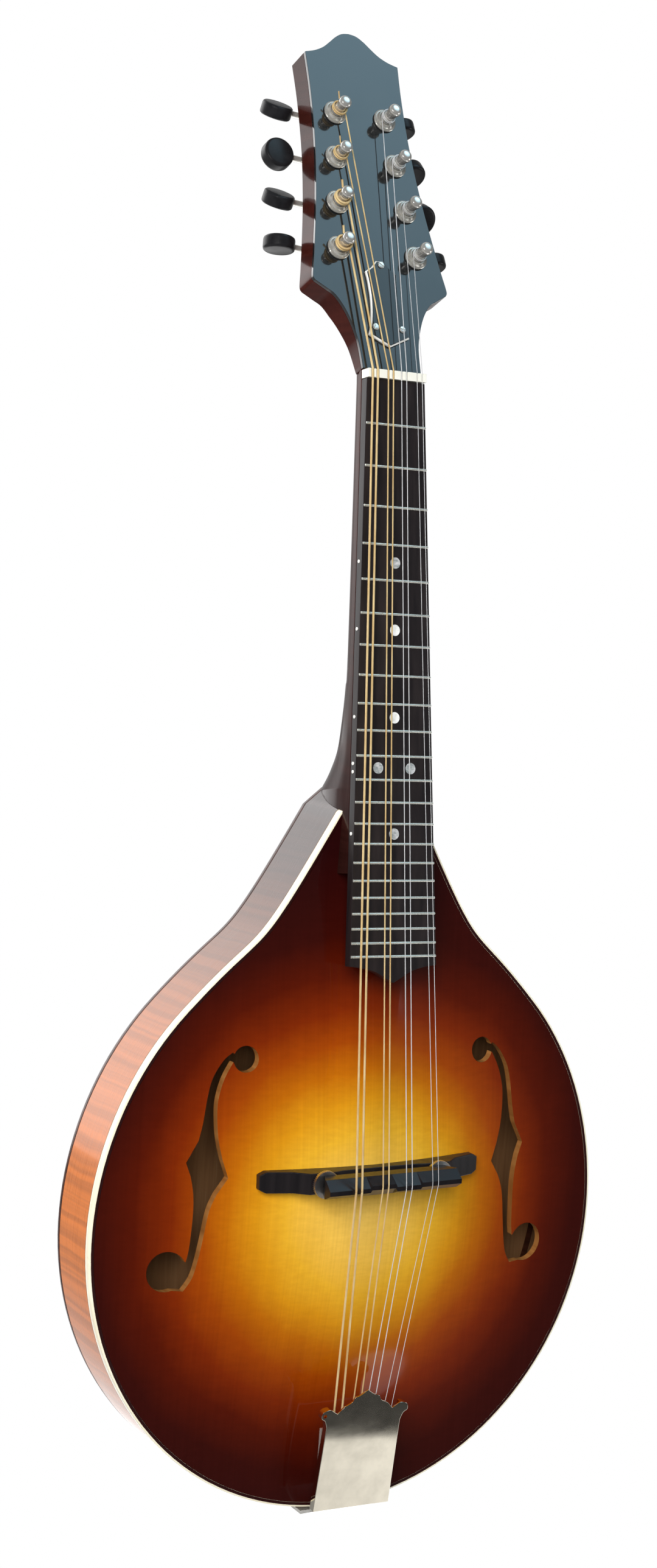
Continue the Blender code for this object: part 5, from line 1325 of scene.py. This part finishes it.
bridge_point = neck_frame @ Vector((0, -STRINGS_ABOVE_BOARD, -SCALE - BRIDGE_SET_BACK))
bridge_slant = Matrix.Rotation(math.radians(-1.3), 4, "Y")
head_turn = head_frame.to_3x3()


def winding(side, row, radius, nut_point):
    """The turns round a post, from the free end down to where the string leaves for the nut."""
    centre = next(Vector((x, along)) for s, r, x, along in post_spots() if (s, r) == (side, row))
    reach = POST_WAIST + CLEARANCE + radius
    goal = head_frame.inverted() @ nut_point
    goal = Vector((goal.x, goal.z))
    leave = centre
    for attempt in range(3):
        towards = (goal - leave).normalized()
        inner = Vector((towards.y, -towards.x))
        if inner.x * side > 0:
            inner = -inner
        leave = centre + inner * reach
    start = math.atan2(inner.y, inner.x)
    pitch = 2 * radius + CLEARANCE
    turns = []
    for step in range(round(TURNS * STEPS) + 1):
        angle = start - side * math.tau * step / STEPS
        flat = centre + reach * Vector((math.cos(angle), math.sin(angle)))
        turns.append(head_frame @ Vector((flat.x, -WAIST_FOOT - radius - pitch * step / STEPS, flat.y)))
    return turns[::-1]


def wire_through(name, points, radius, thin_from=None):
    """A wire through points: a path drawn as a curve, given its thickness and made a mesh."""
    bpy.ops.object.select_all(action="DESELECT")
    bpy.ops.curve.primitive_nurbs_path_add()
    path = bpy.context.object
    path.name = name
    path.data.splines.clear()
    line = path.data.splines.new("POLY")
    line.points.add(len(points) - 1)
    for place, point in enumerate(points):
        line.points[place].co = (*point, 1)
        if thin_from is not None and place >= thin_from:
            line.points[place].radius = 0.6
    path.data.bevel_depth = radius
    path.data.bevel_resolution = 3
    path.data.use_fill_caps = True
    bpy.ops.object.convert(target="MESH")
    bpy.ops.object.mode_set(mode="EDIT")
    return tidy(bpy.context.object)


def wound_bronze():
    """Bronze wrap wire: fine close turns across the string, and a warm, lightly tarnished colour."""
    finish, shader, add = new_finish("string_wound_bronze")
    place = add("TexCoord").outputs["Object"]
    turns = add("TexWave", {"Vector": place, "Scale": 900, "Distortion": 0.4}, bands_direction="Z").outputs[1]
    tarnish = streaks(add, (220, 220, 60), 3)
    colour = shaded(add, tarnish, ((0.3, (0.80, 0.53, 0.23)), (0.68, (1.0, 0.78, 0.42))))
    sheen = varied(add, tarnish, 0.38, 0.5)
    relief = bumped(add, turns, 0.25, 0.0001)
    set_shader(shader, Base_Color=colour, Metallic=0.5, Roughness=sheen, Normal=relief)
    return finish


def string_part(part, finish, node):
    """Shades a part of a string, gives it its finish, and hides the CAD node that it stands for."""
    only(part)
    bpy.ops.object.shade_smooth()
    part.data.materials.append(finish)
    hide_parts(node)


def end_loop(side, x_hook, radius):
    """The half turn round a hook, and the short end beside it."""
    bend = HOOK_HALF + CLEARANCE + radius * 0.6
    angles = [math.pi * step / 12 for step in range(13)]
    loop = [(x_hook - side * bend * math.cos(a), HOOK_Y, HOOK_Z - bend * math.sin(a)) for a in angles]
    loop = [Vector(point) for point in loop]
    return loop + [loop[-1] + Vector((0, 0, 0.002))]


bronze = wound_bronze()
plain = metal("string_plain_steel", (0.94, 0.94, 0.95), 0.3, (900, 900, 60), 0.0, 0.5)
for letter, gauge, side, outer, ridge_step in STRINGS:
    made_of, slot_name = (bronze, "string_bronze") if side < 0 else (plain, "string_steel")
    radius = gauge / 2
    for near in (1, 0):
        lane = 2 * outer + near
        name = f"string_{letter}_{'outer' if near else 'inner'}"
        x_nut = side * (PAIRS_AT_NUT[outer] + (near - 0.5) * PAIR_WIDTH_AT_NUT)
        x_saddle = side * (PAIRS_AT_SADDLE[outer] + (near - 0.5) * PAIR_WIDTH_AT_SADDLE)
        x_hook = side * (FIRST_HOOK + lane * HOOK_PITCH)
        front, back = (neck_frame @ Vector((x_nut, -NUT_SLOT_DEPTH - radius, z)) for z in NUT_Z)
        ridge = bridge_slant @ Vector((x_saddle, 0, ridge_step))
        over = Vector((ridge.x, bridge_point.y + SADDLE_RISE - radius, bridge_point.z + ridge.z))
        before, after = over + RIDGE_HALF, over - RIDGE_HALF
        turns = winding(side, 3 - lane, radius, front)
        playing = [back.lerp(before, step / 24) for step in range(25)]
        long_part = wire_through(f"{name}_long", turns + [front] + playing + [over], radius)
        string_part(long_part, made_of, name)
        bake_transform(long_part)
        loop = end_loop(side, x_hook, radius)
        tail = [after.lerp(loop[0], step / 24) for step in range(24)]
        short_part = wire_through(f"{name}_tail", [over] + tail + loop, radius, thin_from=len(tail) + 1)
        string_part(short_part, made_of, name)
        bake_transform(short_part)
        tucked = turns[0].lerp(turns[1], -0.6) - head_turn @ Vector((0, 0.0006, 0))
        spare = head_turn @ Vector((0.0008 * side, -0.0016, 0.0028)) * (1.0 if side < 0 else 0.55)
        stub = wire_through(f"{name}_end", [turns[0], tucked, tucked + spare], radius * 0.95)
        hand_over(stub, made_of, slot_name)
